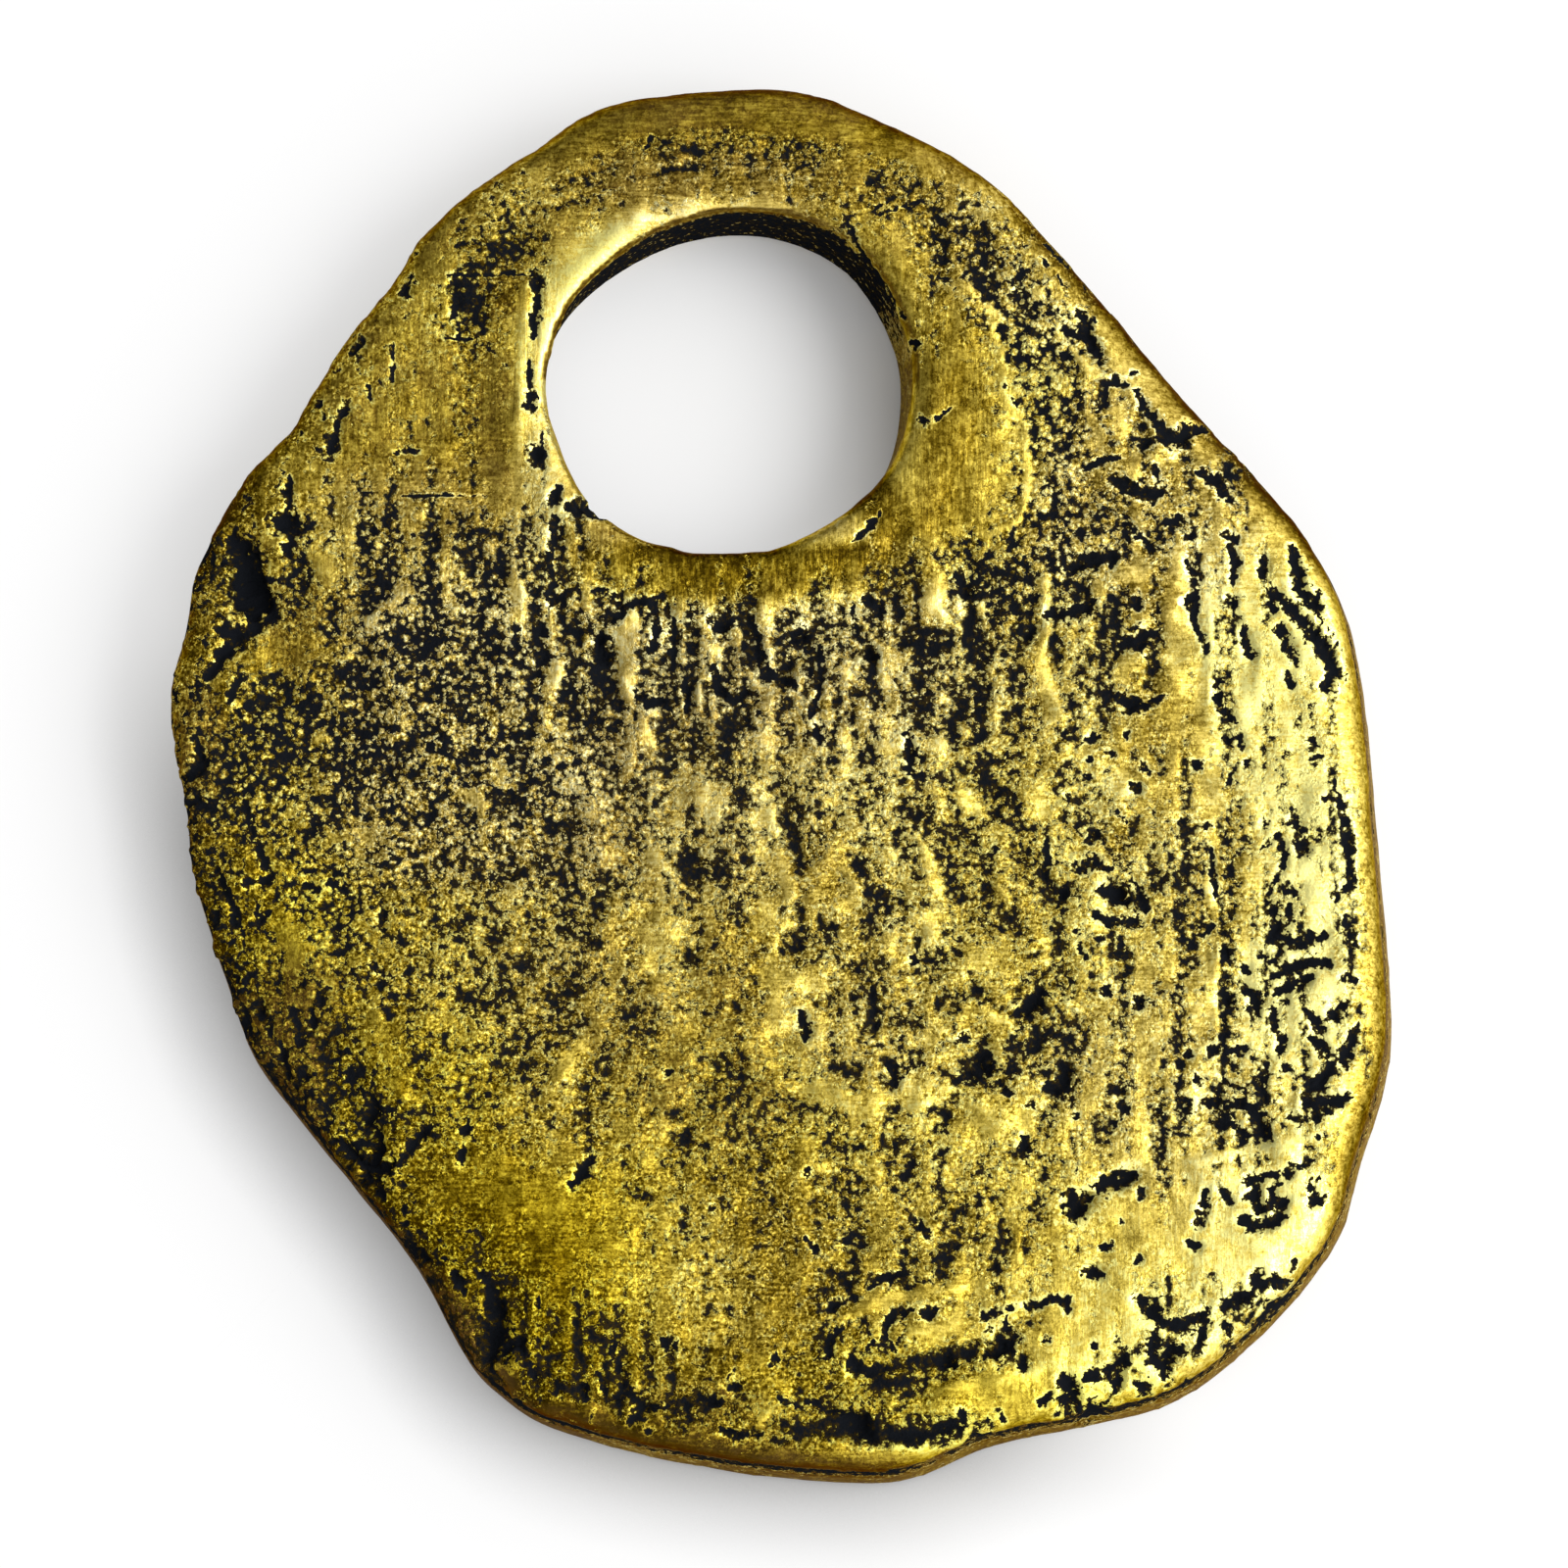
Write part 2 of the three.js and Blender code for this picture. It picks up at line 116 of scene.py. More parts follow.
# The face's worn marks, drawn on the grid: each stroke is a run of (u, v, width) along a cut,
# a gouge or a pit that the patina has filled. A single entry is a round pit.
STROKES = [
    # left of the hole
    [(549, 284, 10), (548, 305, 8), (545, 330, 8), (545, 346, 4)],
    [(540, 368, 3), (541, 385, 6), (541, 396, 4)], [(541, 401, 9), (542, 414, 10)],
    [(553, 441, 3), (554, 455, 4), (555, 476, 3)], [(548, 463, 14), (549, 470, 13)],
    [(568, 500, 8), (566, 510, 12)], [(583, 518, 14), (597, 519, 18), (612, 526, 10)],
    [(566, 530, 8), (565, 545, 9), (560, 572, 6), (566, 598, 8)],
    [(558, 606, 8), (564, 609, 14), (572, 608, 8)], [(400, 349, 3), (401, 372, 5), (399, 395, 3)],
    [(353, 415, 10), (345, 428, 6), (342, 445, 8), (337, 461, 12)], [(330, 423, 7)], [(325, 411, 8)],
    [(417, 282, 6), (413, 298, 9)], [(426, 256, 5)], [(370, 345, 8), (362, 356, 10)], [(306, 441, 6)],
    [(375, 394, 5), (380, 410, 4)], [(458, 280, 4), (490, 281, 5), (522, 278, 4), (546, 279, 5)],
    [(450, 343, 3), (466, 345, 5), (480, 346, 4), (493, 349, 3)],
    [(461, 290, 8), (467, 306, 9), (461, 326, 6)], [(467, 330, 5), (468, 343, 4)],
    [(496, 227, 4), (512, 222, 4)], [(665, 138, 5), (660, 150, 5)],
    [(408, 507, 3), (440, 505, 4), (465, 505, 3), (507, 503, 2)],
    [(404, 461, 5), (420, 460, 6), (430, 461, 3)], [(377, 530, 5), (381, 541, 8)],
    [(430, 545, 5), (441, 547, 8)],
    # left edge
    [(296, 484, 3), (293, 500, 12), (296, 516, 7)], [(278, 531, 12), (292, 533, 24), (304, 536, 12)],
    [(297, 545, 8), (293, 562, 12)], [(236, 548, 18), (246, 562, 26), (252, 590, 34), (258, 610, 36)],
    [(262, 612, 28), (275, 622, 14), (283, 627, 5)],
    [(258, 612, 30), (262, 640, 14), (240, 645, 22), (222, 641, 10)],
    [(243, 650, 18), (224, 671, 15), (209, 692, 7)], [(256, 594, 9), (276, 590, 6), (297, 587, 3)],
    [(245, 687, 5), (240, 700, 12), (233, 721, 5)], [(240, 722, 10), (246, 730, 8)],
    [(198, 752, 7), (206, 775, 14), (194, 790, 12)], [(203, 817, 14), (214, 823, 16), (218, 815, 8)],
    [(246, 802, 5), (255, 840, 7), (263, 862, 9), (273, 886, 8), (279, 902, 4)],
    [(221, 880, 5), (224, 905, 11), (236, 920, 10), (243, 935, 6), (247, 965, 4)],
    [(221, 928, 8), (215, 944, 9)], [(206, 895, 6)], [(237, 935, 9), (239, 946, 6)], [(252, 899, 9)],
    [(268, 901, 11), (276, 892, 6)], [(262, 922, 4), (265, 935, 12), (273, 929, 7)], [(298, 920, 6)],
    [(312, 902, 8), (322, 907, 12)], [(335, 898, 7), (349, 905, 11), (358, 911, 4)],
    [(389, 930, 8), (391, 946, 9)], [(380, 984, 7), (386, 990, 8)], [(233, 994, 6), (239, 997, 8)],
    [(262, 1012, 3), (266, 1031, 13), (274, 1044, 8), (276, 1056, 5)], [(247, 1028, 6), (248, 1045, 9)],
    [(255, 1060, 7)], [(284, 1060, 3), (289, 1076, 9), (291, 1096, 10)], [(298, 1111, 8)],
    [(298, 1030, 9), (303, 1045, 8), (306, 1061, 11)], [(318, 1027, 5), (319, 1046, 8)],
    [(326, 1014, 9), (331, 1031, 8)], [(337, 1007, 6)], [(304, 1088, 6), (312, 1095, 11)], [(318, 1118, 6)],
    # lower left
    [(343, 1165, 12), (360, 1181, 20), (378, 1193, 30), (393, 1190, 20)],
    [(376, 1118, 8), (382, 1134, 12), (374, 1143, 12)], [(381, 1150, 8), (387, 1175, 12)],
    [(412, 1184, 9), (418, 1170, 12), (430, 1156, 13), (440, 1149, 6)], [(479, 1143, 5), (475, 1156, 10)],
    [(474, 1170, 7), (470, 1186, 9)], [(383, 1215, 10), (390, 1222, 8)], [(410, 1209, 8)], [(412, 1234, 8)],
    [(412, 1249, 10)], [(427, 1235, 5)], [(410, 1267, 5), (422, 1276, 13), (434, 1289, 7)],
    [(452, 1285, 6)], [(462, 1299, 9), (470, 1308, 13), (471, 1317, 10)],
    [(490, 1299, 10), (497, 1308, 12)],
    [(500, 1320, 18), (507, 1345, 24), (506, 1366, 30), (498, 1386, 16)],
    [(515, 1375, 26), (530, 1370, 16)], [(533, 1378, 12), (540, 1394, 8), (545, 1408, 10)],
    [(548, 1324, 5), (550, 1334, 8)], [(550, 1367, 5), (556, 1376, 5)], [(588, 1344, 7), (591, 1357, 6)],
    [(625, 1368, 7), (625, 1386, 8)], [(567, 1410, 6), (569, 1422, 7)], [(594, 1412, 8), (598, 1426, 7)],
    [(612, 1404, 7), (617, 1415, 9), (617, 1427, 5)], [(632, 1394, 9), (637, 1411, 10)],
    [(629, 1426, 8), (634, 1418, 6)], [(645, 1424, 15), (655, 1433, 17), (650, 1445, 13), (642, 1453, 6)],
    [(666, 1438, 8), (682, 1436, 8)], [(662, 1460, 6)], [(606, 1437, 4), (603, 1451, 3)],
    [(676, 1370, 8), (686, 1378, 11), (690, 1369, 5)], [(603, 1183, 9), (593, 1198, 12), (583, 1210, 8)],
    # foot
    [(715, 1425, 10), (731, 1431, 12)], [(700, 1432, 8), (703, 1446, 8)],
    [(738, 1459, 9), (749, 1465, 11), (762, 1465, 8)], [(773, 1467, 8)], [(750, 1415, 12)],
    [(748, 1402, 6)], [(792, 1380, 4), (791, 1393, 8)], [(797, 1427, 6), (810, 1435, 6)],
    [(820, 1431, 6), (830, 1430, 6), (842, 1439, 4)],
    [(846, 1442, 8), (862, 1443, 12), (880, 1455, 24), (888, 1466, 14)],
    [(905, 1468, 9), (930, 1466, 12), (965, 1463, 10), (980, 1458, 8)],
    [(845, 1385, 8), (845, 1373, 11), (849, 1361, 8), (861, 1355, 6)],
    [(904, 1365, 5), (904, 1351, 8), (912, 1342, 11), (927, 1339, 8)], [(907, 1368, 5), (911, 1379, 6)],
    [(948, 1339, 14)], [(940, 1341, 4)], [(884, 1377, 4), (891, 1370, 6)],
    [(868, 1384, 8), (870, 1395, 14), (882, 1400, 12), (905, 1394, 7)], [(848, 1335, 11), (857, 1328, 8)],
    [(886, 1314, 5), (900, 1305, 9), (921, 1300, 7)], [(935, 1244, 6), (940, 1254, 8), (946, 1262, 8)],
    [(822, 1263, 5), (833, 1275, 8)], [(862, 1267, 7)], [(727, 1233, 8)], [(824, 1195, 8)],
    [(680, 1374, 12)], [(1004, 1343, 9), (1013, 1340, 8)], [(1021, 1338, 5), (1036, 1334, 7)],
    [(1047, 1333, 8), (1060, 1332, 9), (1070, 1326, 7), (1088, 1328, 10), (1089, 1336, 8)],
    [(1025, 1344, 4), (1028, 1356, 8)], [(1011, 1356, 8)],
    [(1036, 1364, 10), (1027, 1375, 14), (1012, 1381, 16)], [(1067, 1367, 7)], [(1042, 1393, 9)],
    [(968, 1386, 14), (974, 1393, 8)], [(980, 1440, 8), (984, 1450, 8)], [(1020, 1440, 6), (1024, 1449, 5)],
    [(1008, 1450, 6)],
    # lower right
    [(1122, 1211, 13), (1138, 1206, 17), (1155, 1198, 14)],
    [(1092, 1214, 6), (1098, 1230, 24), (1100, 1236, 18)], [(1104, 1223, 12), (1113, 1223, 6)],
    [(1166, 1212, 6), (1164, 1222, 7)], [(1100, 1195, 5)], [(1145, 1246, 5)],
    [(1123, 1275, 5), (1131, 1271, 8)], [(1161, 1285, 8)],
    [(1106, 1299, 7), (1115, 1298, 12), (1124, 1301, 7)], [(1137, 1290, 5)],
    [(1274, 1206, 11), (1286, 1202, 9)], [(1292, 1199, 5), (1311, 1200, 11), (1316, 1194, 8)],
    [(1318, 1192, 5), (1337, 1187, 6)], [(1280, 1216, 9), (1285, 1236, 14)],
    [(1298, 1215, 8), (1301, 1234, 11), (1311, 1227, 9)],
    [(1265, 1245, 7), (1280, 1251, 13), (1295, 1248, 11), (1309, 1240, 8)], [(1272, 1222, 8)],
    [(1230, 1214, 6), (1228, 1232, 9), (1225, 1248, 10)], [(1246, 1214, 7), (1256, 1227, 8)],
    [(1210, 1268, 4), (1222, 1272, 9)],
    [(1338, 1204, 5), (1339, 1215, 7), (1342, 1226, 11), (1353, 1222, 7)], [(1347, 1204, 7)],
    [(1323, 1287, 6), (1318, 1296, 5)],
    [(1286, 1300, 11), (1280, 1312, 14), (1298, 1309, 13), (1313, 1308, 8)],
    [(1250, 1334, 12), (1262, 1330, 14), (1274, 1322, 14)], [(1252, 1352, 10), (1256, 1359, 8)],
    [(1163, 1327, 11), (1175, 1338, 20), (1185, 1346, 13)],
    [(1190, 1349, 10), (1205, 1355, 13), (1222, 1345, 11), (1231, 1336, 8)],
    [(1229, 1348, 8), (1224, 1376, 9)], [(1178, 1363, 12), (1174, 1376, 12)],
    [(1180, 1388, 14), (1190, 1400, 12)], [(1194, 1382, 15), (1206, 1378, 11)],
    [(1292, 1347, 11), (1297, 1335, 14), (1310, 1329, 10), (1327, 1314, 7)],
    [(1112, 1375, 4), (1117, 1373, 7)], [(1140, 1368, 7)],
    [(1150, 1378, 8), (1143, 1396, 15), (1140, 1412, 12)],
    [(1135, 1400, 12), (1120, 1401, 11), (1104, 1406, 6)],
    [(1084, 1405, 10), (1091, 1418, 20), (1092, 1433, 22)],
    [(1108, 1446, 14), (1119, 1445, 28), (1130, 1446, 14)], [(1064, 1432, 9), (1072, 1422, 5)],
    [(1160, 1410, 8), (1169, 1418, 13)],
    # right margin
    [(1319, 558, 9), (1324, 580, 14), (1326, 600, 13), (1338, 615, 16), (1349, 622, 7)],
    [(1345, 628, 2), (1358, 645, 3), (1368, 661, 2)], [(1295, 602, 9), (1299, 622, 9)],
    [(1300, 604, 8), (1322, 625, 11), (1342, 648, 16), (1354, 667, 18), (1366, 688, 11)],
    [(1358, 690, 9), (1355, 702, 12)], [(1305, 640, 9), (1316, 662, 10), (1323, 679, 5)],
    [(1311, 684, 4), (1318, 699, 7)], [(1330, 690, 5)], [(1339, 757, 8), (1346, 761, 5)],
    [(1337, 774, 5), (1350, 772, 6)], [(1352, 815, 8)], [(1345, 850, 7)],
    [(1320, 824, 4), (1320, 838, 11), (1331, 848, 8)], [(1326, 861, 11), (1331, 869, 13)], [(1290, 840, 8)],
    [(1304, 850, 4), (1312, 868, 6), (1308, 886, 6), (1300, 900, 5), (1293, 916, 4)],
    [(1285, 869, 3), (1296, 857, 7)], [(1310, 905, 8), (1318, 912, 7)], [(1314, 924, 5), (1316, 941, 6)],
    [(1298, 930, 8), (1303, 946, 10), (1299, 956, 10)],
    [(1358, 790, 4), (1365, 812, 7), (1371, 838, 9), (1375, 860, 12), (1377, 880, 8), (1380, 902, 8)],
    [(1363, 918, 8), (1373, 906, 6)], [(1371, 934, 5), (1376, 950, 10), (1381, 963, 8), (1376, 976, 4)],
    [(1298, 957, 13), (1320, 963, 12), (1349, 955, 10)], [(1287, 975, 7), (1300, 983, 7)],
    [(1309, 991, 10), (1322, 986, 12), (1340, 981, 8), (1353, 982, 9)], [(1297, 998, 6), (1309, 995, 6)],
    [(1301, 1014, 8), (1315, 1006, 8), (1336, 1000, 10)], [(1310, 1022, 8)],
    [(1367, 1000, 5), (1376, 998, 12), (1383, 1002, 4)], [(1300, 1030, 6), (1300, 1051, 6)],
    [(1309, 1058, 8), (1305, 1073, 9)], [(1331, 1030, 5), (1342, 1041, 10), (1348, 1051, 9)],
    [(1336, 1057, 7), (1350, 1072, 10), (1359, 1079, 8)], [(1361, 1036, 12), (1373, 1025, 8)],
    [(1386, 1044, 5), (1379, 1064, 11), (1371, 1082, 12)], [(1310, 1089, 8), (1319, 1093, 6)],
    [(1342, 1112, 18), (1350, 1100, 11), (1359, 1089, 8)],
    [(1334, 1127, 10), (1355, 1128, 14), (1372, 1120, 10), (1382, 1120, 4)],
    [(1320, 1139, 9), (1326, 1148, 8)], [(1342, 1142, 11)], [(1344, 1161, 6)],
    [(1252, 1130, 8), (1262, 1123, 8), (1275, 1130, 10), (1286, 1146, 15), (1291, 1159, 13)],
    [(1252, 1140, 7), (1262, 1152, 8), (1274, 1163, 8)],
    [(1292, 1088, 7), (1287, 1108, 9), (1291, 1122, 9)], [(1247, 1101, 8), (1256, 1106, 6)],
    [(1266, 1110, 8)], [(1210, 1128, 14)], [(1229, 1124, 10), (1240, 1125, 12)], [(1222, 1102, 10)],
    [(1256, 1073, 9), (1270, 1070, 10)], [(1240, 1072, 12)], [(1212, 1075, 11)], [(1252, 1021, 14)],
    [(1271, 1010, 10), (1282, 1018, 12), (1280, 1035, 11)], [(1251, 968, 11), (1252, 976, 9)],
    [(1271, 990, 10)], [(1236, 864, 4), (1237, 888, 7), (1241, 913, 5)], [(1226, 957, 5), (1238, 944, 6)],
    [(1252, 753, 8)], [(1264, 752, 9), (1269, 764, 5)], [(1272, 780, 9)], [(1256, 788, 5), (1254, 801, 5)],
    [(1205, 838, 8)], [(1232, 843, 8)],
    # right shoulder
    [(1076, 312, 4), (1085, 325, 6), (1093, 339, 10), (1107, 342, 12), (1116, 353, 12), (1123, 366, 10),
     (1125, 373, 4)], [(1102, 318, 8), (1109, 329, 11), (1108, 341, 10)], [(1118, 327, 5)],
    [(1129, 393, 7), (1140, 388, 8), (1149, 395, 5)], [(1127, 398, 4), (1129, 412, 6), (1119, 420, 6)],
    [(1156, 382, 6)], [(1160, 397, 4), (1167, 416, 10), (1179, 429, 10), (1187, 441, 10)],
    [(1190, 443, 14), (1200, 449, 18), (1213, 438, 14), (1230, 436, 10)], [(1178, 451, 7), (1164, 455, 8)],
    [(1104, 480, 4), (1125, 470, 7), (1146, 466, 4)], [(1178, 477, 7), (1183, 490, 6)],
    [(1140, 490, 15), (1150, 498, 14), (1165, 502, 12), (1178, 505, 12), (1189, 497, 8)], [(1175, 512, 7)],
    [(1223, 482, 7), (1238, 490, 12), (1250, 486, 9), (1258, 473, 5)],
    [(1240, 493, 8), (1248, 505, 10), (1259, 513, 5)], [(1189, 534, 6), (1205, 530, 11)], [(1215, 546, 12)],
    [(1209, 571, 4), (1217, 585, 8), (1221, 597, 7)], [(1222, 603, 5), (1212, 615, 11)],
    [(1222, 612, 5), (1218, 630, 8), (1221, 641, 5)], [(1225, 648, 6), (1232, 663, 7)],
    [(1250, 545, 7), (1261, 550, 8)], [(1255, 560, 7), (1262, 572, 9), (1257, 592, 6)], [(1257, 614, 13)],
    [(1262, 630, 9)], [(1269, 640, 7), (1270, 655, 9), (1278, 669, 9)], [(1290, 568, 7), (1290, 588, 8)],
    [(1242, 689, 5), (1242, 714, 9), (1252, 730, 7), (1263, 738, 3)],
    [(1143, 656, 12), (1163, 653, 21), (1183, 642, 4)],
    [(1128, 702, 7), (1140, 711, 10), (1155, 719, 17), (1176, 715, 8), (1190, 710, 4)],
    [(1160, 604, 6), (1161, 616, 11)], [(1073, 626, 12), (1090, 624, 15), (1112, 620, 14)],
    [(1088, 578, 16), (1115, 571, 14), (1138, 566, 10), (1135, 577, 7)],
    [(1149, 534, 8), (1158, 545, 8), (1172, 552, 5)], [(1048, 648, 14), (1056, 640, 8)],
    [(1165, 780, 8), (1173, 788, 7)], [(1160, 803, 11)], [(1221, 780, 11)], [(1189, 783, 5)],
    [(1104, 757, 5), (1118, 752, 9)], [(1085, 748, 8)], [(1133, 768, 8)], [(1112, 775, 6)],
    [(1107, 792, 8)], [(1090, 812, 8)], [(1150, 750, 7)], [(1138, 826, 4), (1147, 837, 6)],
    [(1117, 852, 15)], [(1114, 879, 12), (1128, 885, 8), (1136, 886, 6)], [(1096, 881, 6), (1105, 890, 9)],
    [(1063, 262, 5), (1067, 271, 4)], [(1080, 279, 3), (1084, 291, 3)],
    [(1068, 247, 4), (1080, 262, 6), (1092, 272, 3)],
    # pits right of the middle
    [(1129, 907, 14), (1143, 914, 17)], [(1154, 895, 6), (1162, 908, 8), (1168, 926, 9)],
    [(1120, 936, 10), (1135, 940, 9), (1158, 939, 11)], [(1123, 957, 9)], [(1142, 957, 8)],
    [(1100, 964, 6), (1108, 977, 7)], [(1144, 964, 7), (1140, 978, 7)], [(1100, 948, 8)],
    [(1130, 1010, 11)], [(1164, 1024, 13)], [(1085, 1018, 10)],
    [(1064, 886, 6), (1072, 906, 8), (1086, 913, 8)], [(932, 980, 10)],
    [(890, 1008, 7), (892, 1026, 10), (894, 1046, 9)], [(818, 1034, 7), (821, 1048, 11), (822, 1059, 6)],
    [(910, 1084, 9), (914, 1095, 15), (913, 1107, 7)], [(932, 1090, 7)], [(978, 1062, 7), (985, 1057, 9)],
    [(1042, 1029, 13), (1056, 1022, 15), (1063, 1013, 10)],
    [(1007, 1074, 9), (1004, 1086, 18), (996, 1095, 17)], [(976, 1102, 11), (986, 1098, 9)],
    [(1019, 1104, 9), (1031, 1115, 9)], [(1085, 1088, 13), (1088, 1106, 15)],
    [(1069, 1107, 11), (1081, 1115, 12)], [(1052, 1127, 8)], [(1044, 1162, 9), (1045, 1172, 14)],
    [(1144, 1113, 13)], [(1148, 1132, 11)], [(1098, 1138, 7)], [(1135, 1148, 8)], [(1182, 1134, 9)],
    [(870, 620, 5), (875, 650, 6)], [(888, 612, 12), (896, 623, 13)], [(815, 648, 18), (823, 653, 12)],
    [(887, 667, 15)], [(978, 586, 11), (984, 609, 11)],
    [(926, 748, 9), (929, 771, 13), (926, 785, 10), (943, 793, 8)], [(1068, 855, 6), (1070, 884, 7)],
    [(1015, 866, 8)], [(680, 1095, 9)], [(455, 1058, 7)],
    # under the hole
    [(612, 600, 7), (618, 603, 7)], [(625, 605, 6), (634, 622, 12), (627, 635, 7)],
    [(640, 616, 8), (666, 613, 10), (670, 640, 9), (668, 659, 9), (656, 667, 6)],
    [(684, 620, 5), (688, 650, 8), (687, 680, 8)], [(726, 632, 8), (737, 640, 14), (748, 632, 8)],
    [(728, 680, 7), (732, 700, 12), (745, 713, 12), (763, 705, 7)],
    [(765, 628, 9), (772, 650, 8), (776, 675, 13), (786, 688, 13)], [(700, 700, 9), (702, 722, 7)],
    [(648, 705, 7), (660, 716, 12), (673, 716, 9)], [(527, 642, 8), (527, 664, 12)], [(553, 645, 10)],
    [(612, 650, 16), (614, 668, 18)], [(782, 686, 13), (803, 692, 13), (812, 699, 7)], [(825, 685, 9)],
    [(836, 660, 6), (838, 692, 7), (828, 728, 8)], [(832, 740, 9), (838, 756, 9)],
    [(500, 606, 8), (503, 612, 9)], [(901, 519, 2), (888, 537, 8), (871, 552, 3)],
    [(862, 224, 4), (869, 237, 7), (876, 252, 4), (892, 272, 2), (926, 327, 2)],
    [(892, 213, 4), (906, 207, 5)], [(895, 220, 3), (938, 205, 4)], [(884, 187, 4), (900, 180, 7)],
    [(931, 351, 10)], [(937, 421, 3), (942, 430, 11)], [(956, 428, 5), (972, 416, 4)], [(1025, 395, 7)],
    [(1030, 408, 5), (1038, 415, 5)], [(1038, 293, 11)],
]

PER_MM = 47.5  # grid units to a millimetre of the face
FACE_HEIGHT = 2.62  # mm


def spot(u, v):
    """The place on the face that lies under a place of the grid, in millimetres."""
    half = camera.data.sensor_width / 2 / camera.data.lens
    across = (2 * u / GRID - 1) * half
    rise = (1 - 2 * v / GRID) * half
    ray_y = rise * math.sin(ELEVATION) + math.cos(ELEVATION)
    ray_z = rise * math.cos(ELEVATION) - math.sin(ELEVATION)
    reach = (FACE_HEIGHT - camera.location.z / MM) / ray_z
    return camera.location.x / MM + across * reach, camera.location.y / MM + ray_y * reach


def runs(points, stroke):
    """For each run of a stroke: how far the points are from its middle line, and half its width there."""
    line = [(*spot(u, v), width / PER_MM / 2) for u, v, width in stroke]
    for (ax, ay, ar), (bx, by, br) in zip(line, line[1:] or line):
        along = np.array([bx - ax, by - ay])
        length = max(float(along @ along), 1e-9)
        share = np.clip(((points[:, 0] - ax) * along[0] + (points[:, 1] - ay) * along[1]) / length, 0, 1)
        apart = np.hypot(points[:, 0] - ax - share * along[0], points[:, 1] - ay - share * along[1])
        yield apart, ar + share * (br - ar)


FAR_OUTSIDE = -3.0
NARROWEST = 0.1  # mm, half of the width where no stroke is near


def inside_strokes(points, strokes):
    """For each point the nearest stroke: 1 on its middle line, 0 on its edge; and its half width."""
    inside = np.full(len(points), FAR_OUTSIDE)
    half_width = np.full(len(points), NARROWEST)
    for stroke in strokes:
        for apart, radius in runs(points, stroke):
            here = 1 - apart / radius
            half_width = np.where(here > inside, radius, half_width)
            inside = np.maximum(inside, here)
    return inside, half_width


DEEPEST_CUT = 0.24  # mm, however wide the cut
SHALLOWEST_CUT = 0.05
cut = np.full(len(at), FAR_OUTSIDE)
half_width = np.full(len(at), NARROWEST)
can_cut = (z > 1.0) & (up > -0.4)
cut[can_cut], half_width[can_cut] = inside_strokes(at[can_cut], STROKES)
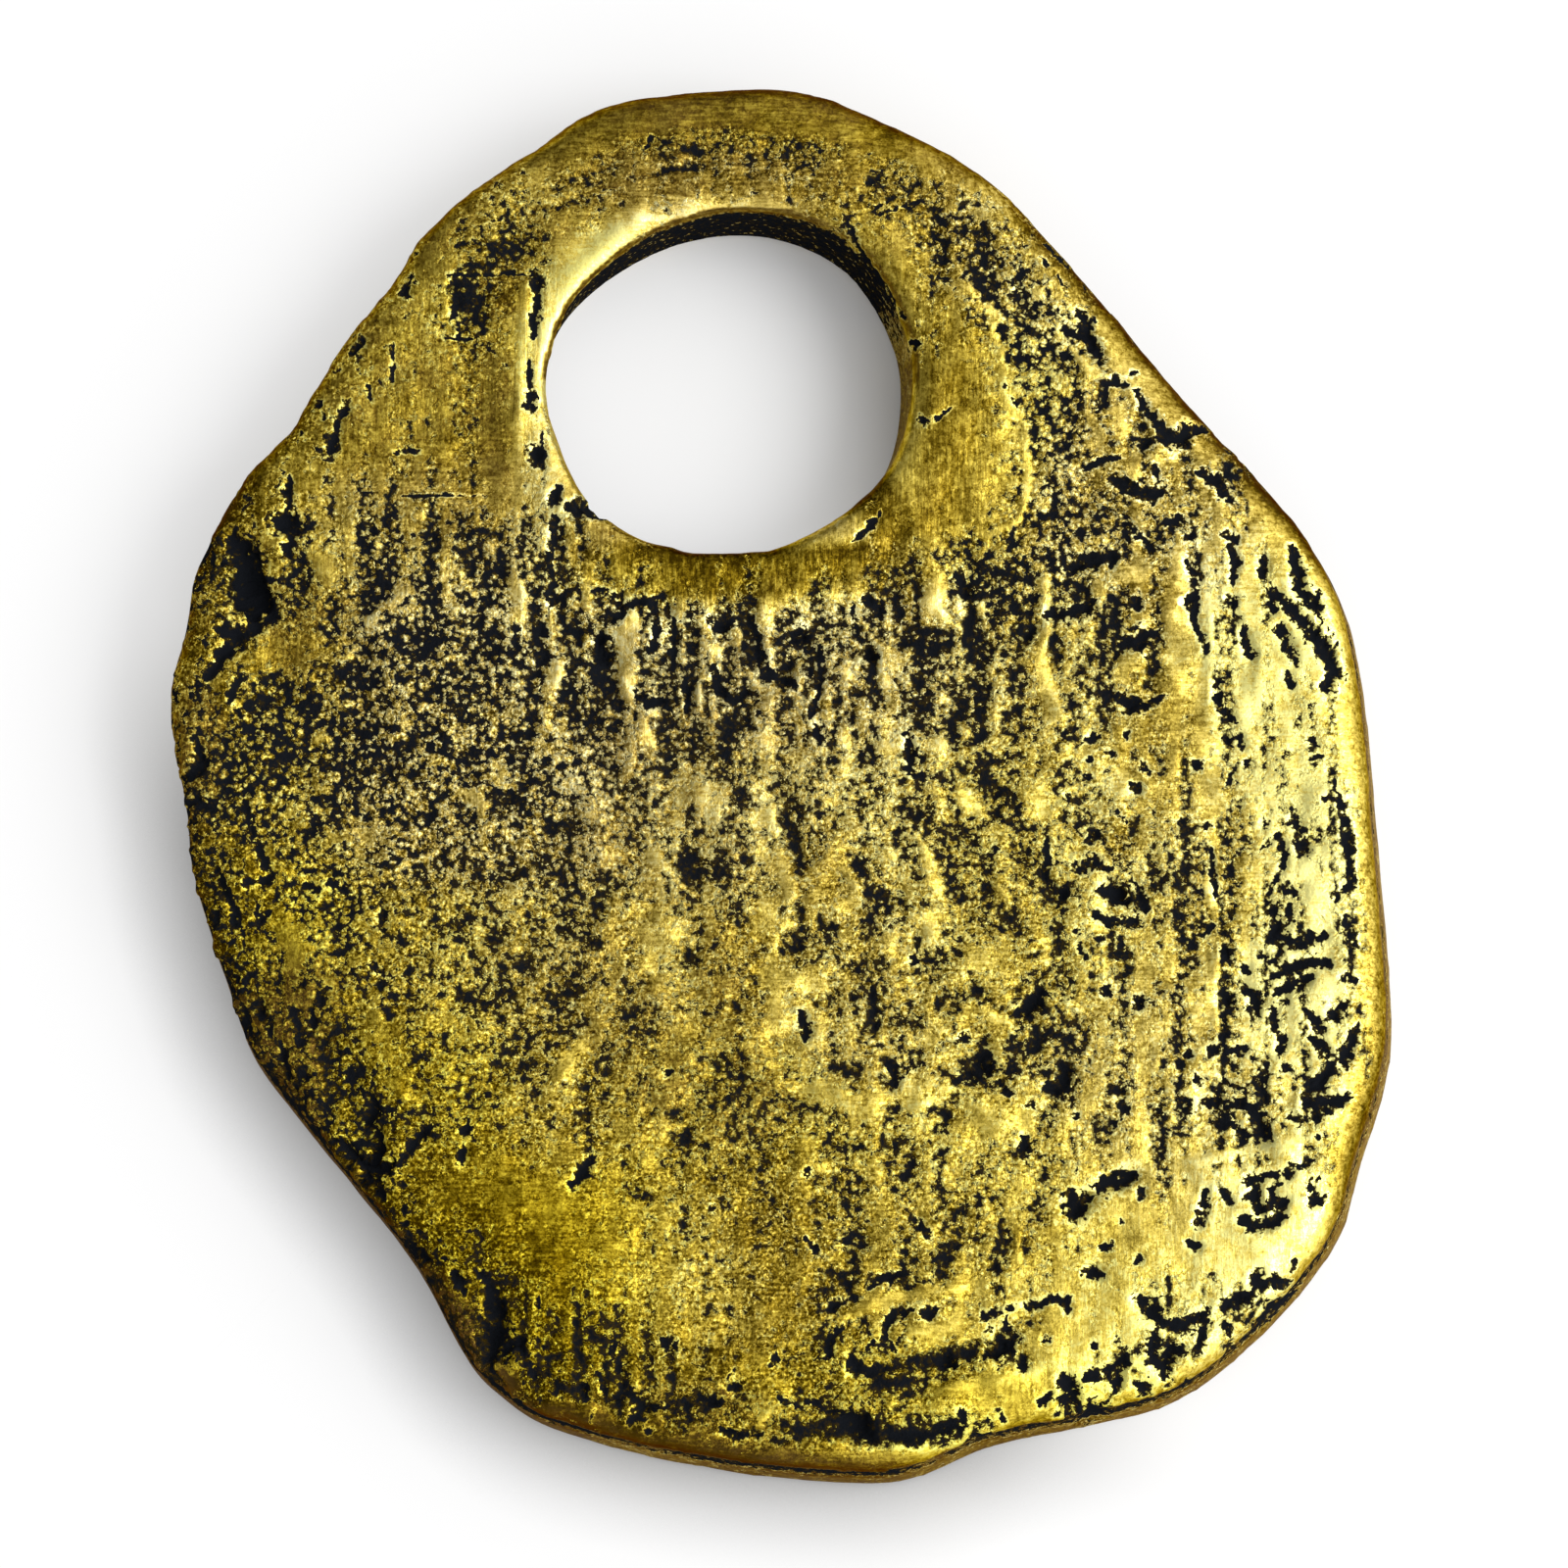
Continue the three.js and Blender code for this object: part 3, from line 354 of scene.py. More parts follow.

# The patina, the wear and some painted light, laid out in soft patches on the grid: (u, v, reach
# across, reach down, value) and, where the patch is turned, its turn in degrees. A point takes the
# mean of the patches near it, each by its closeness.
BLACK = [  # the share of the brass that is black
    (390, 415, 60, 85, 0.08), (490, 410, 40, 60, 0.13), (455, 570, 100, 35, 0.38), (470, 680, 90, 40, 0.55),
    (500, 255, 48, 24, 0.22), (480, 318, 26, 34, 0.5), (530, 340, 30, 60, 0.05),
    (430, 260, 30, 40, 0.05, 45), (330, 775, 90, 70, 0.5), (725, 755, 20, 24, 1.0),
    (930, 1415, 24, 12, 0.9), (555, 1020, 24, 50, 0.65), (1135, 850, 20, 30, 0.35), (935, 835, 14, 20, 0.9),
    (775, 825, 26, 20, 0.1), (400, 770, 30, 18, 0.25), (572, 935, 16, 20, 0.2), (1070, 930, 22, 60, 0.24),
    (880, 845, 24, 30, 0.1), (875, 945, 24, 20, 0.12), (640, 1456, 60, 12, 0.0, 12),
    (690, 1470, 60, 10, 0.0, 8), (490, 775, 70, 75, 0.48), (660, 670, 95, 45, 0.44),
    (550, 650, 40, 50, 0.3), (510, 570, 40, 30, 0.25), (400, 530, 40, 20, 0.15), (860, 1200, 26, 60, 0.15),
    (630, 1330, 40, 26, 0.25), (900, 1450, 50, 20, 0.7), (570, 1445, 50, 14, 0.0, 25),
    (1060, 1180, 30, 26, 0.1), (850, 1230, 26, 30, 0.1), (1140, 1120, 20, 20, 0.3),
    (550, 640, 24, 60, 0.14), (480, 250, 40, 24, 0.14), (760, 1140, 24, 30, 1.0), (482, 1285, 20, 30, 0.7),
    (640, 1388, 60, 18, 0.65), (200, 775, 16, 50, 0.6), (215, 600, 14, 30, 0.45), (462, 635, 26, 20, 0.75),
    (385, 890, 40, 40, 0.45), (265, 1000, 16, 24, 0.55), (345, 1120, 30, 30, 0.5),
    (240, 515, 20, 14, 0.2, 30), (410, 1140, 50, 16, 0.55), (720, 745, 26, 26, 0.9),
    (945, 840, 26, 26, 0.72), (940, 715, 60, 24, 0.9), (930, 600, 24, 20, 0.9), (600, 970, 60, 100, 0.46),
    (275, 770, 26, 40, 0.72), (720, 1445, 30, 16, 0.75), (330, 620, 30, 40, 0.55),
    (1110, 700, 50, 40, 0.55), (890, 1005, 20, 20, 0.6), (840, 625, 36, 26, 0.14),
    (1000, 660, 26, 60, 0.15), (1225, 610, 40, 50, 0.01), (830, 665, 65, 45, 0.45),
    (860, 755, 45, 35, 0.12), (980, 640, 80, 60, 0.65), (1130, 660, 60, 50, 0.4),
    (1060, 1060, 34, 26, 0.45), (1250, 650, 40, 100, 0.07), (1330, 640, 30, 60, 0.0, 35),
    (700, 810, 95, 80, 0.42), (900, 785, 90, 60, 0.36), (1050, 775, 50, 75, 0.33),
    (1150, 775, 45, 75, 0.15), (1245, 800, 40, 100, 0.12), (1335, 855, 36, 100, 0.12),
    (335, 925, 80, 70, 0.28), (510, 925, 85, 70, 0.42), (650, 925, 45, 75, 0.22), (715, 865, 32, 24, 0.35),
    (805, 950, 40, 100, 0.25), (970, 940, 90, 50, 0.33), (950, 1050, 110, 60, 0.3),
    (1230, 1000, 45, 130, 0.2), (1300, 1000, 26, 40, 0.04), (1195, 890, 24, 30, 0.5),
    (1280, 1140, 34, 26, 0.55), (1335, 1055, 40, 90, 0.15), (495, 1075, 60, 70, 0.3),
    (520, 1000, 60, 34, 0.5), (630, 1090, 65, 85, 0.24), (760, 1130, 34, 40, 0.5),
    (760, 1100, 55, 100, 0.25), (720, 1300, 75, 95, 0.15), (925, 1235, 105, 75, 0.24),
    (740, 1225, 40, 50, 0.36), (820, 960, 24, 40, 0.55), (560, 870, 40, 24, 0.75), (640, 1035, 30, 24, 0.5),
    (642, 775, 20, 40, 0.65), (970, 870, 40, 40, 0.55), (1235, 955, 24, 50, 0.35), (1065, 640, 36, 30, 0.6),
    (1235, 500, 30, 30, 0.2), (1290, 1225, 50, 28, 0.0), (340, 1070, 30, 80, 0.36, 25),
    (600, 1385, 60, 50, 0.5), (600, 1360, 34, 30, 0.75), (500, 1345, 34, 44, 0.65),
    (840, 1455, 80, 18, 0.45), (715, 1430, 34, 20, 0.6), (950, 1388, 90, 16, 0.35, 8),
    (1150, 1395, 55, 26, 0.1, 20), (360, 1010, 34, 30, 0.2), (1240, 1345, 60, 24, 0.26, 30),
    (985, 265, 38, 45, 0.34), (1038, 370, 24, 60, 0.3, 15), (1075, 470, 34, 70, 0.32, 10),
    (1080, 570, 40, 40, 0.45), (1040, 585, 30, 40, 0.52), (1180, 560, 50, 50, 0.22),
    (910, 200, 34, 20, 0.2, -20), (620, 205, 60, 30, 0.13, -25), (545, 205, 40, 26, 0.3, -30),
    # places that the wear has kept clean
    (540, 1260, 95, 75, 0.03), (1270, 1285, 90, 22, 0.0, 15), (1110, 1270, 60, 50, 0.03),
    (1130, 1345, 50, 22, 0.02), (740, 110, 160, 22, 0.0), (590, 120, 40, 16, 0.0, -30),
    (735, 225, 40, 10, 0.0), (820, 552, 50, 16, 0.0, -20), (725, 158, 60, 16, 0.5),
    (560, 160, 60, 24, 0.0, -35), (440, 240, 40, 24, 0.0, -50), (960, 160, 60, 16, 0.0, 28),
    (1090, 280, 70, 16, 0.05, 48), (1200, 410, 80, 16, 0.0, 48), (1300, 520, 40, 16, 0.0, 50),
    (1385, 700, 12, 60, 0.0, 8), (1398, 850, 12, 90, 0.0, 4), (1402, 1000, 12, 80, 0.0),
    (1385, 1140, 14, 50, 0.0, -15), (1350, 1260, 20, 30, 0.0, -30), (1260, 1380, 50, 14, 0.0, -38),
    (1150, 1436, 50, 12, 0.0, -10), (1060, 1440, 30, 16, 0.02), (1000, 1420, 90, 12, 0.02, -8),
    (960, 1360, 40, 14, 0.05), (880, 1492, 100, 12, 0.0), (720, 1482, 60, 16, 0.0, 8),
    (600, 1452, 50, 16, 0.0, 16), (520, 1418, 30, 18, 0.35, 30), (420, 1265, 26, 50, 0.4, -30),
    (340, 1190, 12, 50, 0.0, -38), (270, 1080, 14, 50, 0.5, -25), (225, 960, 12, 40, 0.35, -12),
    (208, 890, 14, 40, 0.35, -8), (200, 740, 16, 40, 0.08, 8), (206, 640, 16, 30, 0.12, 15),
    (250, 540, 20, 20, 0.05, 30), (300, 665, 60, 26, 0.1, -20), (330, 580, 40, 40, 0.2),
    (285, 500, 30, 30, 0.03, 40), (740, 592, 90, 18, 0.06), (640, 560, 30, 20, 0.05, 30),
    (860, 560, 50, 22, 0.02, -30), (980, 460, 50, 80, 0.0), (930, 300, 34, 60, 0.03, -20),
    (860, 190, 30, 20, 0.08, 20), (700, 180, 60, 18, 0.06, -5), (600, 260, 26, 50, 0.0, -40),
    (565, 370, 16, 70, 0.0), (575, 470, 16, 40, 0.0, 15), (520, 470, 30, 40, 0.06), (945, 610, 14, 26, 0.0),
    (1105, 470, 16, 50, 0.2, 10), (1225, 520, 20, 20, 0.1), (1390, 600, 10, 60, 0.0, 20),
]
TONE_AND_LIGHT = [  # how pale the brass is, from tarnished olive at 0 to bright at 1: partly its wear, partly painted light, with painted highlights on the lips, the dome and the right side towards the window and painted shade under the hole's lower rim
    (1310, 850, 80, 300, 1.24), (1260, 620, 60, 90, 1.2), (1250, 900, 36, 80, 0.45),
    (1385, 740, 24, 60, 0.7), (1298, 1004, 36, 44, 1.7), (1345, 845, 30, 40, 1.6), (955, 1478, 40, 18, 1.6),
    (1070, 1350, 24, 20, 0.5), (730, 1310, 30, 40, 0.8), (740, 564, 120, 8, -0.1), (620, 560, 20, 20, 0.5),
    (655, 592, 26, 14, 0.8), (825, 550, 44, 14, 0.85, -20), (1270, 1140, 60, 36, 0.85),
    (1400, 1120, 16, 60, 0.4), (1290, 1250, 120, 60, 1.15), (1150, 1240, 36, 30, 0.6),
    (1195, 750, 36, 90, 0.48), (1400, 950, 16, 220, 0.6), (1200, 470, 120, 60, 0.58, 50),
    (1050, 400, 40, 130, 1.0, 10), (1110, 1295, 80, 70, 0.94), (1180, 1370, 90, 60, 1.2, -20),
    (980, 440, 60, 90, 0.35), (1040, 800, 60, 160, 0.75), (900, 850, 120, 150, 0.78),
    (690, 850, 110, 90, 0.86), (700, 680, 80, 50, 0.95), (620, 1000, 80, 60, 0.55),
    (500, 900, 120, 200, 0.68), (320, 800, 110, 160, 0.56), (225, 800, 30, 220, 0.2),
    (400, 450, 120, 100, 0.55), (500, 620, 120, 60, 0.84), (780, 820, 60, 50, 1.2), (890, 820, 50, 50, 0.9),
    (720, 745, 26, 26, 0.6), (340, 620, 30, 30, 0.35), (470, 1050, 36, 70, 0.8), (350, 560, 50, 40, 0.7),
    (560, 660, 40, 50, 0.95), (740, 588, 110, 18, 0.12), (548, 410, 20, 170, 1.15),
    (600, 262, 24, 80, 1.1, -42), (730, 215, 50, 12, 1.3), (740, 190, 100, 22, 0.42),
    (700, 120, 200, 30, 0.34), (500, 200, 100, 40, 0.5, -35), (575, 215, 24, 20, 0.45, -35),
    (940, 190, 70, 40, 0.5, 25), (890, 190, 40, 20, 0.25, 10), (930, 290, 40, 60, 0.6, -20),
    (925, 440, 16, 70, 1.1), (890, 825, 36, 50, 1.3), (1145, 862, 22, 22, 0.3), (1060, 1270, 26, 30, 0.5),
    (850, 1390, 60, 40, 0.35), (730, 1455, 24, 20, 0.2), (478, 1120, 20, 30, 0.8), (690, 975, 20, 50, 1.1),
    (858, 868, 24, 26, 0.25), (920, 745, 50, 30, 1.15), (1170, 880, 26, 24, 1.15), (1000, 845, 18, 30, 1.1),
    (955, 965, 16, 20, 1.1), (1328, 560, 18, 30, 0.6, 30), (990, 1452, 30, 14, 1.2),
    (1300, 1004, 20, 20, 1.5), (385, 780, 40, 26, 0.8), (598, 793, 26, 26, 1.4), (690, 860, 26, 40, 1.15),
    (335, 960, 26, 50, 0.8), (582, 940, 20, 20, 0.9), (1000, 1095, 24, 20, 1.05), (795, 1440, 26, 20, 0.9),
    (900, 1370, 40, 16, 0.9), (1090, 865, 26, 50, 1.05), (1205, 860, 30, 50, 1.0), (1180, 395, 30, 20, 1.0),
    (990, 660, 30, 60, 1.2), (1375, 1205, 20, 50, 0.3), (1090, 265, 40, 26, 0.2, 45),
    (250, 540, 40, 40, 0.1), (520, 1260, 100, 60, 0.22), (560, 1380, 110, 50, 0.2),
    (600, 1238, 95, 26, 0.62, 16), (450, 1290, 60, 60, 0.05), (790, 1240, 40, 50, 0.2),
    (420, 1160, 80, 90, 0.28), (300, 1050, 40, 90, 0.1, 25), (420, 1100, 40, 60, 0.3),
    (905, 1487, 60, 8, 0.85), (760, 1480, 60, 8, 0.5, 6), (650, 1320, 50, 60, 0.66),
    (790, 1290, 50, 120, 0.34), (760, 1180, 40, 60, 0.5), (760, 1120, 100, 70, 0.64),
    (600, 1080, 80, 80, 0.52), (900, 1250, 100, 80, 0.6), (1000, 1060, 80, 60, 0.78),
    (900, 1000, 40, 30, 0.6), (950, 1140, 100, 60, 0.8), (1160, 1220, 40, 60, 0.75),
    (600, 1440, 90, 24, 0.28, 15), (900, 1495, 120, 10, 0.4), (760, 1490, 100, 12, 0.12, 5),
    (960, 1420, 90, 20, 0.66), (470, 1370, 30, 60, -0.15, 30), (500, 1412, 20, 16, -0.2, 40),
    (890, 1415, 60, 14, 0.45), (1040, 930, 26, 60, 0.55), (1190, 605, 26, 26, 0.35),
    (1100, 700, 30, 30, 1.0), (1000, 690, 26, 30, 1.1), (1115, 810, 24, 24, 1.3), (395, 640, 40, 20, 0.95),
    (840, 640, 26, 30, 1.3), (685, 690, 22, 22, 1.3), (585, 135, 40, 20, 0.65, -30),
    (795, 120, 30, 16, 0.6), (1000, 208, 20, 14, 1.0), (525, 285, 20, 30, 0.2), (1030, 540, 26, 50, 0.45),
    (410, 960, 30, 70, 0.35), (235, 910, 40, 40, 0.0), (550, 545, 16, 30, 1.1), (1000, 640, 90, 60, 0.78),
    (860, 740, 120, 80, 0.92), (1130, 1000, 60, 120, 0.84), (1230, 1060, 50, 60, 0.85),
    (1220, 970, 40, 50, 0.7), (840, 890, 30, 40, 0.4), (740, 975, 40, 40, 0.4),
    (1290, 500, 40, 50, 0.3, 40), (920, 590, 40, 20, 0.4), (905, 515, 24, 20, 0.2),
    (940, 525, 30, 16, 0.25, -30), (1052, 672, 20, 24, 0.15), (300, 660, 40, 40, 0.25),
    (830, 1105, 26, 70, 1.05, -10), (945, 1150, 26, 50, 1.05), (1060, 1190, 40, 26, 0.8),
    (490, 440, 30, 60, 0.35), (560, 232, 22, 20, 0.1, -40), (440, 310, 26, 40, 0.75),
]
BROWN = [  # warm brown cast of thin tarnish
    (700, 830, 110, 80, 0.6), (500, 420, 60, 90, 0.45), (620, 980, 90, 60, 0.35), (760, 1090, 100, 60, 0.5),
    (430, 290, 40, 60, 0.4, 30), (620, 180, 90, 30, 0.45, -25), (290, 1060, 30, 60, 0.7, 20),
    (460, 1370, 40, 60, 0.8, 20), (340, 640, 60, 40, 0.5), (205, 780, 20, 40, 0.7),
    (720, 1460, 100, 20, 0.4, 8), (850, 220, 60, 30, 0.35), (540, 1260, 90, 80, 0.0),
    (980, 450, 60, 90, 0.1), (1250, 900, 150, 250, 0.08), (950, 950, 120, 120, 0.12),
    (950, 1250, 120, 90, 0.05), (400, 820, 120, 120, 0.1), (1200, 1280, 140, 60, 0.05),
    (740, 600, 90, 20, 0.1), (1110, 1060, 40, 60, 0.3), (700, 1250, 80, 60, 0.1), (500, 1080, 80, 60, 0.15),
]
STREAK = [  # how far the black runs in upright streaks instead of patches
    (455, 570, 110, 60, 0.8), (640, 660, 120, 60, 0.9), (830, 700, 100, 80, 0.6),
    (1230, 1000, 60, 150, 0.9), (600, 1385, 60, 60, 0.9), (900, 1270, 80, 50, 0.6),
    (400, 800, 150, 150, 0.0), (1000, 950, 150, 150, 0.3), (700, 1000, 150, 150, 0.2),
    (985, 265, 50, 50, 0.3), (1340, 850, 40, 100, 0.5), (1080, 480, 40, 80, 0.2), (700, 1300, 80, 80, 0.3),
    (500, 1200, 100, 100, 0.1), (1260, 800, 90, 280, 0.95), (1150, 1050, 60, 120, 0.6),
]
NUGGET = [  # how far the brass between the black stands in small round grains
    (340, 760, 100, 90, 1.0), (490, 740, 90, 70, 0.9), (985, 260, 50, 60, 0.9),
    (1060, 440, 40, 100, 1.0, 15), (1340, 850, 50, 150, 0.8), (1220, 520, 60, 60, 0.7),
    (330, 1080, 60, 90, 0.8, 20), (1330, 1060, 60, 90, 0.8), (650, 660, 110, 50, 0.5),
    (900, 900, 150, 150, 0.3), (650, 1000, 150, 150, 0.3), (900, 1240, 110, 80, 0.4),
    (560, 1400, 120, 60, 0.1), (950, 1450, 150, 40, 0.1),
]
PALE = [  # from deep yellow brass at 0 to brass paled by the patina in its pores at 1
    (560, 1290, 110, 90, 0.0), (430, 1130, 80, 80, 0.15), (290, 970, 60, 100, 0.1),
    (275, 700, 60, 150, 0.4), (480, 700, 140, 90, 1.0), (720, 680, 120, 60, 0.95), (900, 680, 100, 60, 1.0),
    (500, 830, 140, 60, 1.0), (730, 840, 80, 60, 0.75), (1030, 680, 80, 60, 0.7), (1180, 530, 80, 60, 0.9),
    (1180, 820, 80, 100, 0.7), (1330, 980, 60, 120, 0.65), (1320, 700, 60, 120, 0.6),
    (1180, 1120, 80, 80, 0.75), (1030, 230, 70, 60, 0.8, 40), (730, 200, 120, 30, 0.9),
    (880, 230, 50, 50, 0.5), (560, 230, 60, 60, 0.5), (420, 370, 80, 100, 0.4), (425, 520, 80, 40, 0.8),
    (575, 480, 30, 100, 0.75), (800, 1450, 160, 50, 0.25), (720, 1130, 90, 70, 0.4),
    (720, 980, 80, 60, 0.6), (880, 980, 70, 80, 0.7), (1030, 900, 80, 120, 0.55), (880, 820, 70, 50, 0.75),
    (430, 980, 80, 60, 0.45), (1320, 1270, 70, 70, 0.6), (740, 590, 120, 20, 0.3), (980, 450, 50, 90, 0.5),
    (720, 1290, 70, 80, 0.55), (575, 1120, 50, 60, 0.55), (1030, 1250, 100, 80, 0.5),
    (740, 110, 180, 30, 0.4), (580, 980, 80, 70, 0.7),
]
CLOT = [  # how far the black gathers in large clots with clear brass between
    (640, 650, 90, 60, 1.1), (800, 680, 90, 70, 1.05), (950, 640, 60, 60, 0.9), (480, 600, 70, 60, 0.4),
    (740, 580, 100, 20, 0.2), (740, 780, 120, 20, 0.5), (1130, 660, 60, 60, 0.8), (940, 870, 90, 80, 0.6),
    (600, 1385, 60, 50, 0.5), (800, 950, 80, 90, 0.6), (550, 950, 80, 80, 0.4), (300, 750, 100, 100, 0.3),
    (1240, 900, 120, 250, 0.2), (540, 1240, 120, 80, 0.0), (1020, 1060, 60, 60, 0.9),
    (1050, 400, 60, 120, 0.4), (500, 400, 100, 120, 0.0), (750, 140, 250, 50, 0.0),
    (950, 1250, 100, 80, 0.5), (700, 1100, 120, 80, 0.2),
]
LEVEL_BRUSH = [  # how far the brush lines run across the face instead of down it
    (450, 480, 70, 30, 1.0), (430, 330, 100, 100, 0.0), (500, 600, 150, 60, 0.0), (980, 470, 70, 120, 0.1),
    (740, 590, 120, 20, 0.0), (620, 200, 120, 60, 1.0), (800, 960, 90, 90, 1.0), (1040, 970, 110, 50, 1.0),
    (600, 1200, 200, 160, 0.9), (1240, 720, 80, 160, 1.0), (1150, 1280, 80, 80, 0.3),
    (350, 900, 150, 150, 0.2), (1000, 700, 120, 60, 0.7),
]
PATCH_TAIL = 1e-4  # how much a patch still counts far outside its reach


def patched(points, patches):
    """The mean of the patches round each point, weighted by closeness."""
    total = np.zeros(len(points))
    weight = np.full(len(points), 1e-9)
    for u, v, across, down, value, *turn in patches:
        middle_x, middle_y = spot(u, v)
        angle = math.radians(*turn) if turn else 0.0
        dx = points[:, 0] - middle_x
        dy = middle_y - points[:, 1]
        a = (dx * math.cos(angle) + dy * math.sin(angle)) * PER_MM / across
        b = (dy * math.cos(angle) - dx * math.sin(angle)) * PER_MM / down
        near = np.exp(-(a * a + b * b)) + PATCH_TAIL / (1 + a * a + b * b)
        total += near * value
        weight += near
    return total / weight
